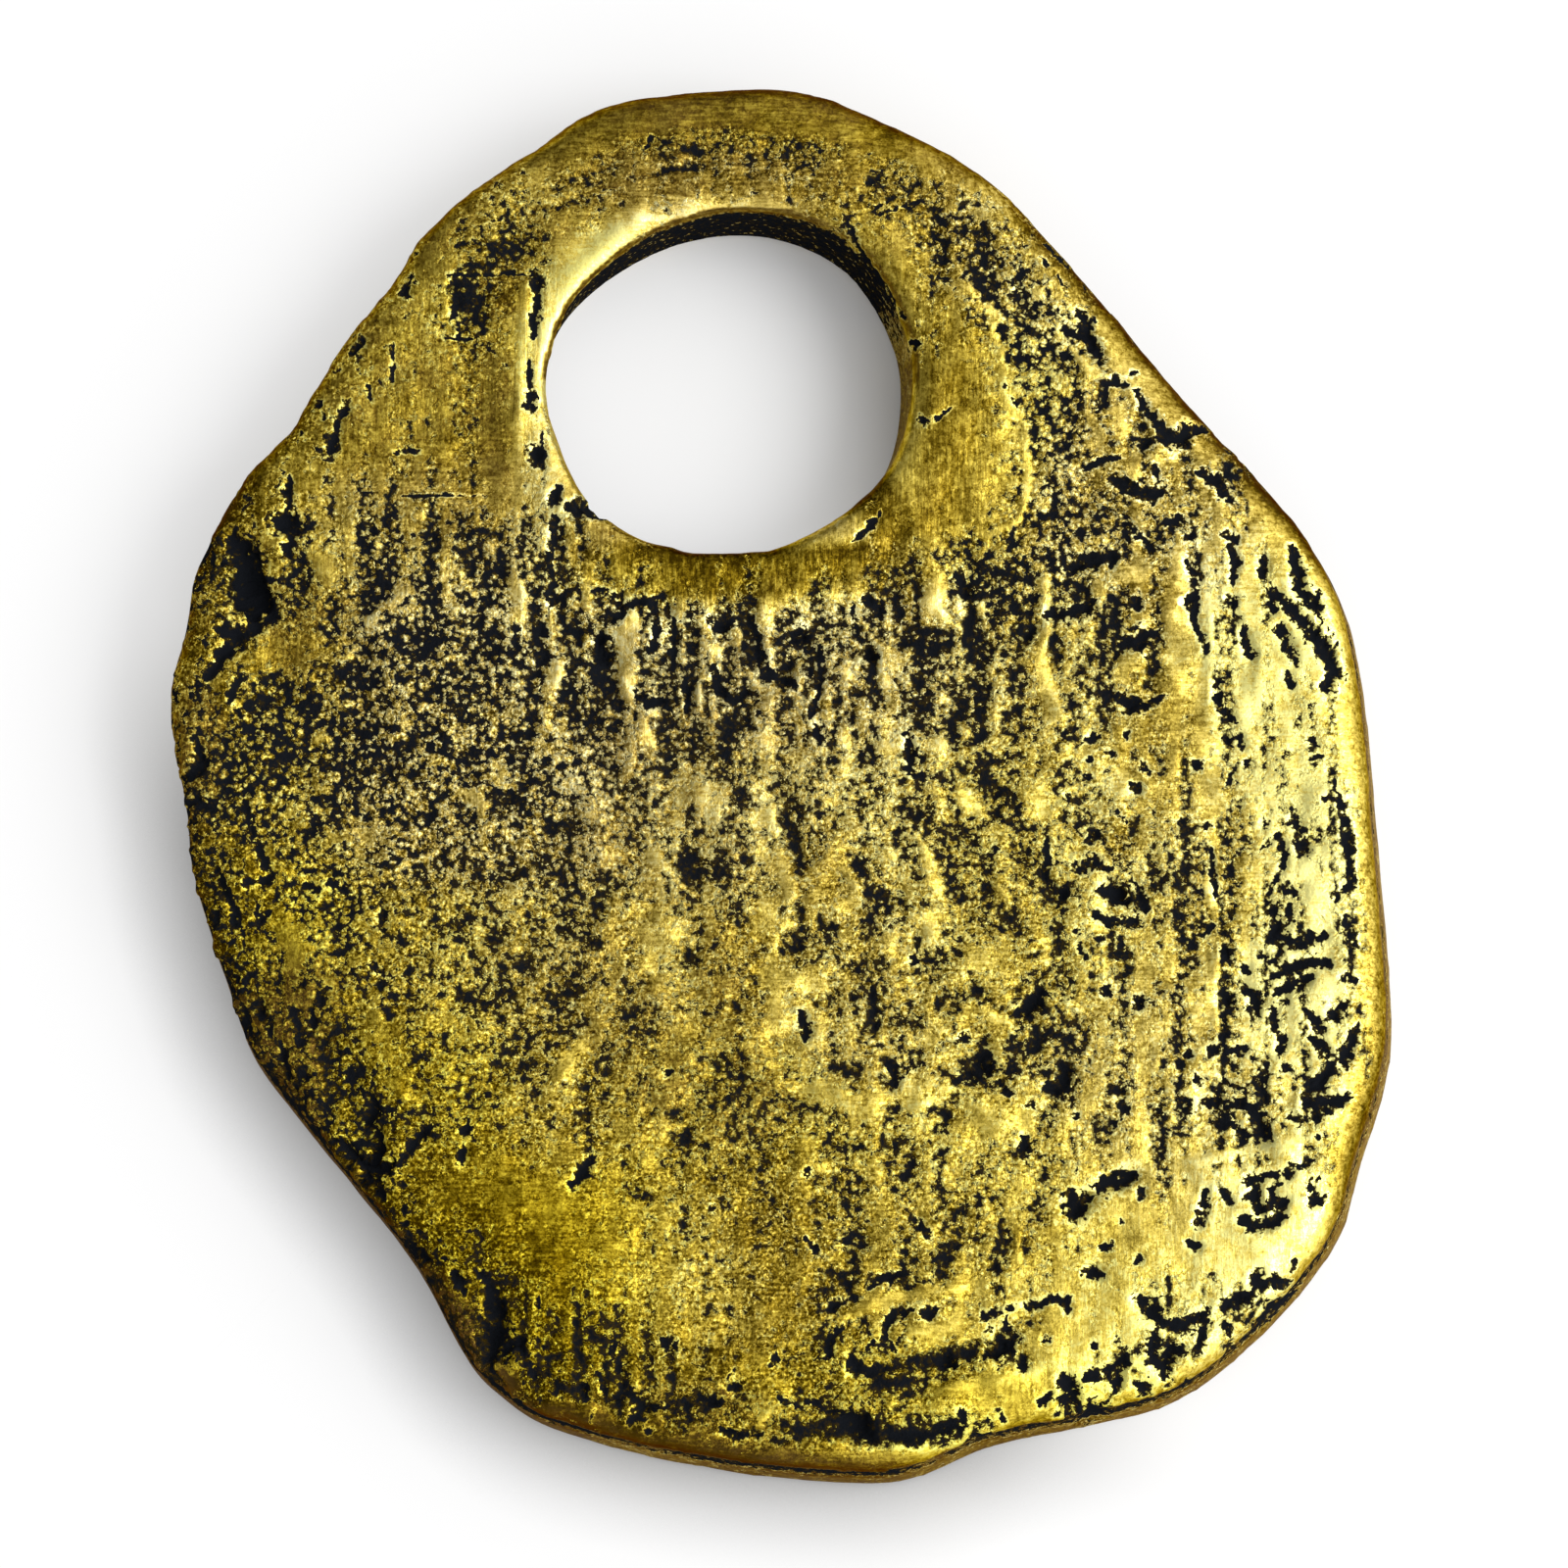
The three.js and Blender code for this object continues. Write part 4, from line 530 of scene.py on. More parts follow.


# Loose marks, drawn on the grid: (how much blacker, [(u, v, width), ...]). Below nought a plate or a
# ridge has been rubbed clean and stands a little higher.
SMEARS = [
    # left
    (0.3, [(312, 722, 18), (330, 730, 24), (352, 737, 20)]), (0.25, [(278, 692, 14), (290, 705, 22)]),
    (0.2, [(262, 740, 18), (258, 755, 14)]), (0.3, [(285, 735, 12), (288, 765, 26), (282, 790, 26)]),
    (0.28, [(372, 700, 24), (386, 692, 18)]), (0.28, [(365, 748, 12), (385, 742, 14)]),
    (0.22, [(405, 650, 22), (430, 665, 28), (460, 650, 22)]),
    (0.2, [(350, 690, 18), (372, 660, 14), (385, 645, 12)]), (-0.35, [(325, 750, 22)]),
    (-0.2, [(357, 718, 7), (375, 710, 8), (395, 714, 6)]),
    (-0.2, [(352, 745, 7), (375, 735, 8), (395, 727, 7)]), (-0.4, [(478, 808, 22), (490, 822, 26)]),
    (-0.15, [(340, 850, 40), (390, 850, 36)]), (-0.12, [(260, 670, 36), (310, 660, 50), (345, 665, 26)]),
    (0.2, [(435, 820, 20), (440, 845, 12)]), (0.25, [(250, 810, 12), (262, 800, 12)]),
    (0.2, [(345, 820, 12), (315, 812, 14)]), (-0.2, [(295, 828, 26)]),
    (0.15, [(395, 765, 36), (350, 790, 36)]), (0.25, [(299, 566, 10), (304, 580, 16), (307, 593, 10)]),
    (-0.35, [(272, 549, 18), (284, 553, 12)]), (-0.35, [(268, 583, 14), (284, 575, 16)]),
    (-0.3, [(252, 628, 14)]), (0.15, [(405, 482, 8), (440, 483, 8), (470, 481, 5)]),
    (0.2, [(470, 545, 26), (510, 545, 18), (515, 580, 22), (470, 570, 26)]),
    (0.2, [(508, 525, 8), (512, 560, 12), (510, 595, 12)]),
    (0.3, [(570, 540, 12), (565, 590, 20), (582, 582, 14)]),
    (0.28, [(372, 578, 10), (395, 585, 16), (405, 575, 12)]), (0.28, [(375, 615, 22), (390, 605, 14)]),
    (0.25, [(352, 595, 12)]), (-0.25, [(330, 575, 26), (340, 595, 18)]),
    (-0.35, [(375, 635, 14), (398, 614, 14), (418, 600, 10)]), (-0.25, [(465, 622, 18)]),
    (-0.25, [(530, 600, 14), (535, 625, 16)]), (-0.35, [(362, 660, 10), (352, 674, 7)]),
    (0.2, [(355, 521, 7)]), (0.3, [(343, 930, 9), (343, 945, 9), (348, 970, 9)]),
    (-0.25, [(290, 940, 26), (300, 980, 26)]), (-0.25, [(380, 1030, 26), (400, 1100, 40), (420, 1130, 34)]),
    (0.3, [(330, 1060, 16), (335, 1085, 20), (340, 1108, 24), (330, 1135, 20)]),
    (0.3, [(360, 1090, 22), (362, 1110, 18)]), (0.3, [(375, 1120, 16), (372, 1145, 22)]),
    (0.25, [(355, 1170, 20), (385, 1160, 14), (388, 1180, 12)]),
    (-0.4, [(344, 1125, 8), (346, 1140, 9), (340, 1150, 7)]), (-0.3, [(392, 1150, 8), (396, 1165, 8)]),
    (0.15, [(400, 1130, 14)]), (0.25, [(470, 1015, 12), (495, 1028, 18)]), (0.25, [(495, 1065, 20)]),
    (-0.2, [(450, 1025, 18), (460, 1040, 14)]), (0.15, [(405, 930, 14), (430, 935, 14)]),
    # middle
    (0.3, [(520, 812, 12), (538, 828, 12)]), (0.2, [(520, 842, 10)]),
    (0.25, [(600, 690, 16), (618, 690, 22), (624, 715, 20)]),
    (-0.35, [(634, 640, 8), (634, 690, 10), (640, 712, 8)]), (-0.3, [(540, 650, 9), (541, 675, 9)]),
    (-0.35, [(570, 678, 14), (568, 700, 12)]), (-0.3, [(655, 730, 8), (662, 755, 10)]),
    (-0.3, [(712, 700, 12), (714, 725, 10)]), (-0.25, [(715, 655, 10), (738, 664, 12)]),
    (-0.3, [(765, 685, 12), (770, 700, 12)]), (-0.25, [(768, 728, 10), (778, 755, 9)]),
    (-0.3, [(650, 630, 12), (655, 652, 10)]), (0.2, [(590, 650, 12), (592, 680, 12)]),
    (0.2, [(600, 780, 10), (560, 780, 6)]), (0.25, [(700, 870, 12), (715, 885, 22), (735, 890, 20)]),
    (-0.35, [(664, 872, 18), (680, 885, 12)]), (-0.15, [(775, 830, 24), (780, 880, 24)]),
    (0.3, [(570, 888, 14), (576, 900, 12)]), (0.3, [(700, 885, 36), (712, 905, 14)]),
    (-0.45, [(688, 890, 8)]),
    (0.2, [(615, 890, 16), (630, 900, 16), (610, 925, 16), (600, 945, 14), (597, 962, 12), (612, 965, 10)]),
    (0.3, [(505, 948, 8), (513, 952, 9)]), (0.3, [(530, 945, 7), (541, 949, 8)]), (0.25, [(545, 935, 8)]),
    (0.2, [(530, 975, 18), (545, 985, 14)]), (0.2, [(555, 1010, 12), (592, 1010, 12)]),
    (0.25, [(510, 1015, 14)]), (0.22, [(700, 975, 20), (712, 985, 12)]), (0.2, [(735, 990, 12)]),
    (0.2, [(745, 935, 9)]), (0.2, [(645, 1035, 18), (645, 1060, 12)]), (0.15, [(625, 1070, 10)]),
    (0.15, [(540, 1060, 40), (510, 1080, 20), (545, 1090, 26)]), (0.2, [(562, 1040, 8)]),
    (-0.35, [(590, 1068, 30), (572, 1095, 24)]), (-0.25, [(660, 950, 26), (660, 985, 26)]),
    (-0.2, [(780, 920, 26), (790, 1000, 24), (790, 1050, 26)]), (-0.2, [(700, 1050, 26)]),
    (0.2, [(735, 1080, 14), (728, 1110, 12), (728, 1135, 10)]), (0.22, [(765, 1150, 12), (785, 1120, 10)]),
    (0.2, [(600, 1100, 7), (600, 1150, 7), (600, 1190, 9)]), (0.15, [(665, 1135, 12), (690, 1140, 18)]),
    (0.3, [(560, 1150, 10)]), (0.25, [(530, 1165, 10)]), (0.15, [(700, 1160, 18), (715, 1175, 14)]),
    (-0.25, [(660, 1185, 22)]),
    # right of the middle
    (0.3, [(808, 815, 12), (802, 832, 12), (808, 850, 18), (815, 870, 18), (818, 890, 12)]),
    (0.3, [(820, 905, 9), (815, 925, 11), (820, 945, 11), (812, 965, 20), (800, 965, 14)]),
    (-0.3, [(785, 825, 10), (793, 850, 9), (800, 900, 10), (806, 925, 8), (800, 945, 8)]),
    (0.3, [(872, 872, 9), (882, 890, 11), (891, 910, 16), (903, 915, 14), (890, 930, 12), (893, 950, 10)]),
    (0.25, [(918, 915, 9), (925, 930, 9)]), (-0.3, [(860, 885, 10), (872, 905, 12)]),
    (0.3, [(930, 828, 12), (945, 840, 15), (955, 860, 15), (962, 880, 12)]), (0.3, [(948, 815, 10)]),
    (-0.35, [(925, 845, 10), (940, 860, 10), (950, 880, 8)]),
    (0.3, [(985, 725, 14), (968, 742, 12), (975, 757, 13), (992, 757, 11), (1006, 745, 9), (1012, 737, 5)]),
    (0.25, [(960, 700, 12), (975, 705, 12)]), (0.25, [(938, 690, 14)]), (0.3, [(932, 722, 11)]),
    (0.2, [(985, 780, 20), (1020, 775, 16)]), (0.3, [(1012, 805, 9), (1028, 808, 14), (1040, 825, 8)]),
    (0.3, [(1022, 822, 11), (1012, 835, 11)]), (0.25, [(1045, 840, 8), (1048, 870, 8)]),
    (-0.3, [(985, 815, 26), (1000, 825, 14)]),
    (0.25, [(925, 655, 22), (955, 650, 24), (985, 650, 22), (1010, 660, 20)]),
    (-0.4, [(958, 590, 16), (950, 615, 22), (962, 628, 12)]), (-0.4, [(1002, 622, 12), (990, 611, 8)]),
    (-0.45, [(1066, 590, 14), (1068, 640, 12), (1062, 675, 12), (1070, 700, 20), (1078, 728, 18)]),
    (-0.35, [(881, 632, 6), (890, 650, 7), (902, 664, 8), (898, 682, 7), (904, 702, 7)]),
    (0.2, [(1035, 615, 20)]), (0.25, [(1000, 590, 20), (1030, 580, 20)]),
    (0.25, [(960, 890, 10), (975, 905, 16), (985, 915, 10)]), (0.2, [(940, 895, 10)]),
    (0.3, [(1005, 905, 12), (1015, 920, 15), (1030, 935, 18)]), (0.15, [(1050, 950, 18), (1000, 940, 18)]),
    (0.25, [(1065, 885, 7), (1070, 905, 12), (1085, 912, 10), (1093, 905, 7)]),
    (0.3, [(888, 1015, 14), (892, 1030, 16), (895, 1045, 9)]), (0.2, [(855, 985, 14), (875, 990, 12)]),
    (0.2, [(870, 1020, 14)]), (0.2, [(825, 1075, 7), (845, 1075, 7), (860, 1070, 6)]),
    (0.25, [(850, 1088, 12), (872, 1090, 14), (880, 1085, 10)]), (0.25, [(905, 1080, 12)]),
    (0.25, [(965, 1015, 14), (955, 1030, 14), (965, 1045, 16), (975, 1025, 12)]),
    (0.3, [(995, 1008, 9), (1010, 1020, 10), (1022, 1030, 8)]), (0.2, [(1015, 1050, 12)]),
    (0.25, [(1045, 1035, 18), (1060, 1010, 14)]),
    (0.28, [(1030, 1068, 12), (1050, 1070, 18), (1068, 1055, 16)]),
    (0.25, [(1068, 1095, 12), (1088, 1092, 14), (1078, 1112, 18)]),
    (0.25, [(955, 1130, 14), (965, 1138, 14)]), (0.25, [(945, 1118, 7)]),
    (0.25, [(1065, 1140, 14), (1068, 1155, 10)]), (0.2, [(855, 1140, 12), (865, 1143, 10)]),
    (0.15, [(840, 1170, 22), (910, 1170, 34), (930, 1165, 20), (925, 1190, 20)]), (0.2, [(1060, 968, 11)]),
    (0.25, [(1065, 992, 11)]), (-0.25, [(810, 1000, 20), (840, 1005, 14)]),
    (-0.3, [(945, 945, 26), (950, 960, 18)]), (-0.25, [(1000, 980, 36)]),
    (-0.25, [(830, 1110, 26), (880, 1130, 26), (930, 1110, 26)]), (-0.35, [(935, 1127, 20)]),
    (-0.25, [(1000, 1030, 10), (1030, 1045, 12)]), (-0.25, [(1010, 1150, 36), (1000, 1130, 26)]),
    (-0.25, [(1060, 800, 16), (1065, 830, 16)]), (-0.2, [(1150, 800, 30)]),
    # right
    (0.21, [(1180, 885, 12), (1190, 900, 12)]), (0.2, [(1200, 905, 14), (1212, 890, 16)]),
    (0.2, [(1205, 930, 24), (1215, 950, 20), (1212, 985, 20)]), (0.14, [(1190, 950, 12)]),
    (0.14, [(1260, 860, 12), (1262, 900, 18), (1258, 930, 14), (1270, 930, 10)]), (0.14, [(1262, 945, 10)]),
    (0.17, [(1190, 1010, 12), (1195, 1030, 12)]), (0.17, [(1225, 1015, 18), (1210, 1035, 12)]),
    (0.15, [(1200, 1060, 12), (1225, 1060, 14), (1255, 1055, 12)]),
    (0.14, [(1140, 865, 16), (1155, 850, 12)]),
    (0.17, [(1175, 1100, 12), (1170, 1125, 14), (1172, 1140, 12)]),
    (0.17, [(1165, 1172, 10), (1180, 1180, 12)]),
    (0.17, [(1205, 1080, 12), (1220, 1100, 14), (1200, 1110, 10)]),
    (0.17, [(1215, 1150, 14), (1225, 1170, 18)]), (0.14, [(1260, 1090, 20)]), (0.14, [(1320, 1105, 18)]),
    (-0.45, [(1262, 1134, 5), (1270, 1148, 6)]), (-0.4, [(1233, 900, 14), (1235, 920, 10)]),
    (-0.3, [(1240, 1000, 8), (1238, 980, 8)]), (-0.25, [(1178, 1060, 10), (1180, 1090, 8)]),
    (-0.35, [(1200, 1190, 10), (1240, 1180, 14), (1290, 1172, 14), (1340, 1160, 14)]),
    (0.1, [(1175, 1248, 8), (1190, 1250, 8)]),
    (0.21, [(1265, 1325, 24), (1270, 1335, 24), (1250, 1340, 16)]),
    (0.21, [(1160, 1375, 12), (1190, 1390, 22), (1220, 1385, 18)]),
    (0.21, [(1165, 1360, 12), (1180, 1362, 10)]), (0.21, [(1150, 1380, 14), (1145, 1395, 14)]),
    (-0.3, [(1330, 880, 20), (1340, 920, 20)]), (-0.3, [(1230, 560, 9), (1234, 640, 9), (1232, 740, 9)]),
    (-0.3, [(1285, 640, 9), (1284, 720, 9)]), (-0.3, [(1195, 620, 20), (1195, 680, 20)]),
    (-0.3, [(1130, 595, 20), (1170, 580, 20)]),
    # right shoulder
    (0.21, [(945, 225, 12), (965, 225, 14), (950, 245, 14), (965, 265, 18)]),
    (0.21, [(990, 235, 20), (1010, 240, 18), (1000, 265, 24), (1015, 265, 14)]),
    (0.18, [(975, 285, 8), (975, 305, 6)]), (0.21, [(1000, 285, 14), (1010, 300, 14), (1025, 295, 12)]),
    (0.18, [(1045, 305, 9)]), (0.24, [(1035, 325, 18), (1050, 325, 16), (1040, 345, 16)]),
    (0.18, [(1060, 340, 12)]), (0.18, [(1018, 335, 6), (1022, 345, 6)]),
    (0.18, [(1030, 370, 9), (1050, 370, 18)]), (0.21, [(1060, 415, 22), (1055, 440, 16), (1058, 465, 18)]),
    (0.18, [(1085, 365, 18), (1100, 385, 18), (1095, 405, 18)]), (0.21, [(1100, 420, 22), (1110, 415, 12)]),
    (0.15, [(1090, 460, 36)]),
    (-0.5, [(975, 290, 5), (989, 296, 6), (1002, 313, 7), (1016, 320, 8), (1012, 335, 6), (1020, 354, 7),
            (1022, 374, 6), (1025, 402, 6), (1036, 420, 7), (1048, 434, 7), (1049, 480, 7)]),
    (-0.5, [(1049, 480, 7), (1046, 510, 7), (1040, 530, 7), (1018, 542, 7), (1005, 548, 6)]),
    (-0.35, [(1140, 420, 22), (1150, 440, 16)]), (-0.3, [(1124, 444, 14)]),
    (-0.4, [(1080, 338, 7), (1094, 355, 8), (1110, 375, 9), (1120, 388, 7)]),
    (-0.35, [(1130, 350, 8), (1142, 372, 8)]), (-0.3, [(1060, 300, 16)]),
    (0.15, [(1120, 530, 20), (1105, 545, 16), (1140, 530, 12)]), (0.12, [(1120, 620, 16), (1140, 615, 14)]),
    (0.15, [(1110, 665, 16), (1130, 672, 14)]), (0.15, [(1110, 700, 14), (1112, 722, 12)]),
    (0.15, [(1075, 500, 18), (1075, 540, 18)]),
    # above the hole
    (0.25, [(470, 250, 12), (500, 250, 18), (530, 245, 18), (560, 240, 16)]),
    (0.3, [(518, 258, 14), (540, 255, 10)]), (0.3, [(470, 275, 10), (500, 270, 16)]),
    (0.25, [(555, 265, 12)]), (0.35, [(465, 290, 12), (480, 285, 12)]),
    (0.35, [(470, 305, 16), (490, 308, 18), (480, 325, 16), (498, 325, 8)]),
    (-0.5, [(457, 284, 4), (455, 320, 5), (461, 336, 4)]),
    (-0.4, [(536, 290, 7), (533, 340, 7), (530, 400, 8), (529, 470, 6)]),
    (0.2, [(545, 215, 7), (570, 212, 9), (600, 200, 8)]),
    (-0.7, [(560, 405, 20), (564, 345, 28), (585, 298, 34), (615, 258, 36), (650, 224, 28)]),
    (0.2, [(555, 195, 7), (600, 180, 12), (630, 170, 14)]),
    (0.2, [(640, 185, 12), (670, 178, 12), (700, 168, 14)]), (0.2, [(570, 240, 9), (600, 228, 7)]),
    (0.2, [(690, 130, 12), (720, 130, 14), (745, 130, 12)]), (0.2, [(690, 152, 9), (725, 153, 9)]),
    (0.25, [(680, 175, 7), (710, 172, 7), (728, 165, 7)]), (0.2, [(740, 180, 5), (780, 178, 5)]),
    (0.2, [(810, 150, 9), (830, 150, 9)]), (0.25, [(813, 172, 8), (820, 181, 7)]),
    (0.15, [(770, 140, 5), (800, 138, 4)]), (0.2, [(850, 145, 8), (870, 150, 7)]),
    (0.25, [(885, 185, 8), (905, 180, 7)]), (0.3, [(900, 195, 7), (912, 200, 6)]),
    (0.3, [(930, 190, 10), (941, 185, 7)]), (-0.5, [(860, 141, 5), (880, 133, 6), (902, 130, 4)]),
    (-0.3, [(858, 160, 2), (845, 170, 3), (840, 190, 3)]), (-0.4, [(995, 213, 8), (1005, 220, 7)]),
    # foot and lower left
    (0.4, [(510, 1310, 18), (525, 1308, 12)]), (-0.5, [(489, 1324, 5), (490, 1340, 7)]),
    (-0.4, [(502, 1355, 5)]), (-0.4, [(478, 1350, 5), (482, 1368, 5)]),
    (0.25, [(572, 1335, 9), (570, 1350, 12)]), (0.3, [(605, 1360, 14), (615, 1372, 12)]),
    (0.3, [(590, 1385, 14), (598, 1390, 9)]), (0.25, [(575, 1385, 16), (560, 1385, 9)]),
    (0.35, [(575, 1415, 12), (595, 1418, 12)]), (0.2, [(685, 1405, 12)]),
    (0.2, [(640, 1215, 18), (665, 1220, 18)]), (0.2, [(650, 1195, 12)]), (0.2, [(725, 1200, 12)]),
    (0.2, [(768, 1248, 9)]), (0.2, [(855, 1205, 18), (865, 1215, 10)]), (0.15, [(910, 1210, 20)]),
    (0.25, [(928, 1198, 9)]), (0.25, [(850, 1300, 18), (865, 1310, 18)]),
    (0.3, [(885, 1310, 12), (900, 1300, 14), (915, 1302, 12)]), (0.22, [(905, 1285, 20)]),
    (0.2, [(960, 1290, 20), (970, 1280, 18)]), (0.2, [(760, 1320, 6), (760, 1345, 6)]),
    (0.3, [(910, 1395, 14), (940, 1390, 18), (965, 1385, 18), (990, 1378, 16)]),
    (0.25, [(895, 1415, 16), (925, 1410, 16), (925, 1425, 12)]), (0.2, [(860, 1420, 7)]),
    (0.2, [(750, 1380, 10)]),
    (0.4, [(800, 1455, 18), (825, 1460, 20), (850, 1455, 22), (880, 1455, 24), (900, 1464, 22),
           (930, 1464, 18)]), (0.35, [(915, 1468, 12), (945, 1460, 15), (975, 1455, 12)]),
    (0.3, [(700, 1430, 14), (712, 1425, 12), (728, 1432, 10)]), (0.3, [(705, 1450, 12)]),
    (0.25, [(690, 1405, 12)]), (-0.45, [(773, 1455, 6), (785, 1440, 6)]),
    (0.25, [(1005, 1215, 12), (1015, 1225, 10)]),
    (0.3, [(1022, 1250, 12), (1028, 1270, 14), (1030, 1287, 10)]),
    (0.25, [(1005, 1240, 10), (1008, 1257, 7)]), (0.2, [(970, 1220, 20), (980, 1260, 22), (965, 1280, 22)]),
    (0.25, [(1015, 1292, 8), (1000, 1298, 7)]), (0.25, [(1047, 1260, 6), (1048, 1290, 6)]),
    (0.2, [(1048, 1230, 8), (1065, 1240, 8)]),
    (0.28, [(985, 1375, 22), (1010, 1375, 20), (1040, 1350, 16), (1060, 1350, 12)]),
    (-0.35, [(860, 1345, 12), (890, 1330, 14), (940, 1318, 16), (1000, 1312, 16)]),
    (-0.35, [(930, 1360, 10), (980, 1350, 12)]),
    (-0.4, [(960, 1420, 12), (1020, 1410, 14), (1060, 1400, 12)]),
]
SMEAR_STRENGTH = 0.9
SMEAR_SPREAD = 0.75  # of its half width


def smeared(points, smears):
    """The sum of the loose marks at each point."""
    total = np.zeros(len(points))
    for amount, stroke in smears:
        most = np.zeros(len(points))
        for apart, radius in runs(points, stroke):
            most = np.maximum(most, np.exp(-((apart / (SMEAR_SPREAD * radius)) ** 2)))
        total += amount * SMEAR_STRENGTH * most
    return total


# Where each point lies. The lip of the cord hole belongs to the face, the rest of the hole is a
# part of its own, and so is the underside with its rune.
HOLE_X, HOLE_Y = -1.2, 8.4  # mm, the middle of the cord hole
LIP_REACH = 4.6  # mm, from there to the outside of the lip
hole_right = x - HOLE_X
hole_up = y - HOLE_Y
from_hole = np.hypot(hole_right, hole_up)
near_hole = from_hole < LIP_REACH
lip_height = np.interp(hole_up, (-1.5, 0), (2.0, 2.5))
in_hole = near_hole & (up < 0.35) & (z > 0.2) & (z < lip_height)
on_face = (z > 1.2) & (up > 0.2) | near_hole & ~in_hole & (z > 1.9)
back_rim = (from_hole < 4.4) & (up > 0.3) & (up < 0.7) & (hole_up > 0) & (z > 1.5)
under = up < -0.2
in_rune = (z > 0.12) & (z < 0.8) & (up < 0.5) & (np.hypot(x, y + 2) < 9) & (np.abs(x - HOLE_X) < 5)


def by_area(face, wall, hole=None, underside=None):
    """The value of each point, by the part of the casting that it lies on."""
    hole = wall if hole is None else hole
    underside = wall if underside is None else underside
    return np.select([on_face, in_hole, under], [face, hole, underside], wall)


# The margin of the face rolls over to the wall, where fingers and polish reach less: dark and
# brownish, most of all on the left and at the foot, where a sunk black line runs under the lip.
# The darkening is partly tarnish and partly painted shade on the edges that turn away from the
# window, and the black line is partly patina and partly painted shade under the lip.
MARGIN_TARNISH_AND_SHADE = [
    (205, 640, 60, 90, 0.6), (200, 760, 40, 60, 0.5), (215, 900, 60, 100, 0.9), (280, 1080, 80, 120, 1.3),
    (430, 1320, 120, 140, 1.9), (190, 700, 20, 30, 0.1), (600, 1460, 120, 60, 0.9),
    (660, 1478, 40, 14, 0.4, 8), (850, 1500, 150, 50, 0.9), (1050, 1450, 80, 50, 0.8),
    (960, 1478, 36, 30, 0.1), (600, 120, 60, 40, 0.1), (1150, 1440, 60, 40, 0.8), (1320, 1320, 80, 60, 0.7),
    (1400, 1000, 40, 250, 0.4), (1250, 450, 120, 120, 1.7), (1100, 290, 80, 80, 1.1),
    (245, 540, 40, 40, 1.4), (980, 170, 60, 50, 0.4), (750, 95, 200, 40, 0.7), (500, 160, 100, 60, 0.4),
    (380, 300, 80, 80, 0.4), (260, 500, 60, 50, 0.6),
]
MARGIN_REACH = 0.3  # mm
LINE_HEIGHTS = (1.3, 1.55, 1.9, 2.15)  # mm: the black line begins, is full, is still full and ends
WALL_HEIGHTS = (0.3, 1.2, 1.7, 2.3)  # mm, from the foot of the wall to its lip
WALL_TONES = (0.8, 0.9, 0.15, 0.0)
edge_tarnish_and_shade = patched(at, MARGIN_TARNISH_AND_SHADE)
line_strength = np.clip(edge_tarnish_and_shade * 1.3 - 0.2, 0, 1) * ~near_hole
# Painted shade under the lip, partly black patina: a dark line along the upper wall.
under_lip_line_and_shade = 0.95 * np.interp(z, LINE_HEIGHTS, (0, 1, 1, 0)) * line_strength
on_wall = np.interp(z, WALL_HEIGHTS, WALL_TONES) * (1 - np.clip(edge_tarnish_and_shade - 0.8, 0, 0.8))

STEEP = 0.3  # the most that a place of the wall looks up or down
wall = np.flatnonzero((np.abs(up) < STEEP) & (z > 0.8) & (z < 2.2) & ~near_hole)
near_wall = KDTree(len(wall))
for point in wall:
    near_wall.insert((x[point], y[point], 0), point)
near_wall.balance()
from_wall = np.zeros(len(at))
for point in np.flatnonzero(on_face):
    from_wall[point] = near_wall.find((x[point], y[point], 0))[2]
margin_tarnish_and_shade = np.exp(-((from_wall / MARGIN_REACH) ** 2)) * edge_tarnish_and_shade * ~in_hole * ~under

# What each point keeps for the relief and for the paint. The hole's wall is black but for the right
# side, the wall and the underside were never rubbed as hard, and the rune's cuts are black.
bare_side = np.interp(hole_right, (0.2, 2.6), (0, 1)) * np.interp(hole_up, (0.9, 2.0), (1, 0))
share = by_area(patched(at, BLACK), 0.05 + under_lip_line_and_shade, hole=0.98 - 0.88 * bare_side, underside=0.25)
share = np.clip(np.where(in_rune & ~in_hole, 0.97, share), 0.002, 0.995)
smear = by_area(smeared(at, SMEARS), 0)
# The tone carries painted light as well as wear: painted highlights and painted shade.
tone = by_area(patched(at, TONE_AND_LIGHT) - smear * 0.6, on_wall, hole=np.where(under, 0.52, 0.4), underside=0.52)
tone = tone - margin_tarnish_and_shade * 0.5
brown = by_area(patched(at, BROWN), 0.75, hole=0.65 - 0.45 * bare_side) + margin_tarnish_and_shade * 0.25
PATINA_SPREAD = 0.165  # of the noise that breaks the black up
LOGISTIC_FIT = 1.7  # a logistic curve this much wider stands for the noise's own


def lay(name, values, kind="FLOAT"):
    """Keeps values on the points of the casting, by name."""
    layer = body.data.attributes.new(name, kind, "POINT")
    slot = "vector" if kind == "FLOAT_VECTOR" else "value"
    layer.data.foreach_set(slot, np.asarray(values, np.float32).ravel())


lay("rest", at, "FLOAT_VECTOR")
lay("black", np.log(share / (1 - share)) / LOGISTIC_FIT * PATINA_SPREAD + smear + margin_tarnish_and_shade * 0.06)
lay("smear", smear)
lay("cut", cut)
lay("dip", np.clip(half_width, SHALLOWEST_CUT, DEEPEST_CUT))
lay("tone", np.where(back_rim, 0.35, tone))
lay("brown", np.where(back_rim, 1.1, brown))
lay("streak", by_area(patched(at, STREAK), 0.2))
lay("nugget", by_area(patched(at, NUGGET), 0.3))
lay("pale", by_area(np.clip(patched(at, PALE), 0, 1), 0.85))
lay("clot", by_area(np.clip(patched(at, CLOT), 0, 2), 0))
lay("brush", by_area(patched(at, LEVEL_BRUSH), 1.0))
lay("lumpy", by_area(0.25 + 0.75 * np.clip(share * 4, 0, 1), 0.3))
lay("pressed", by_area(1.0, 0.5, hole=0.0, underside=0.15))


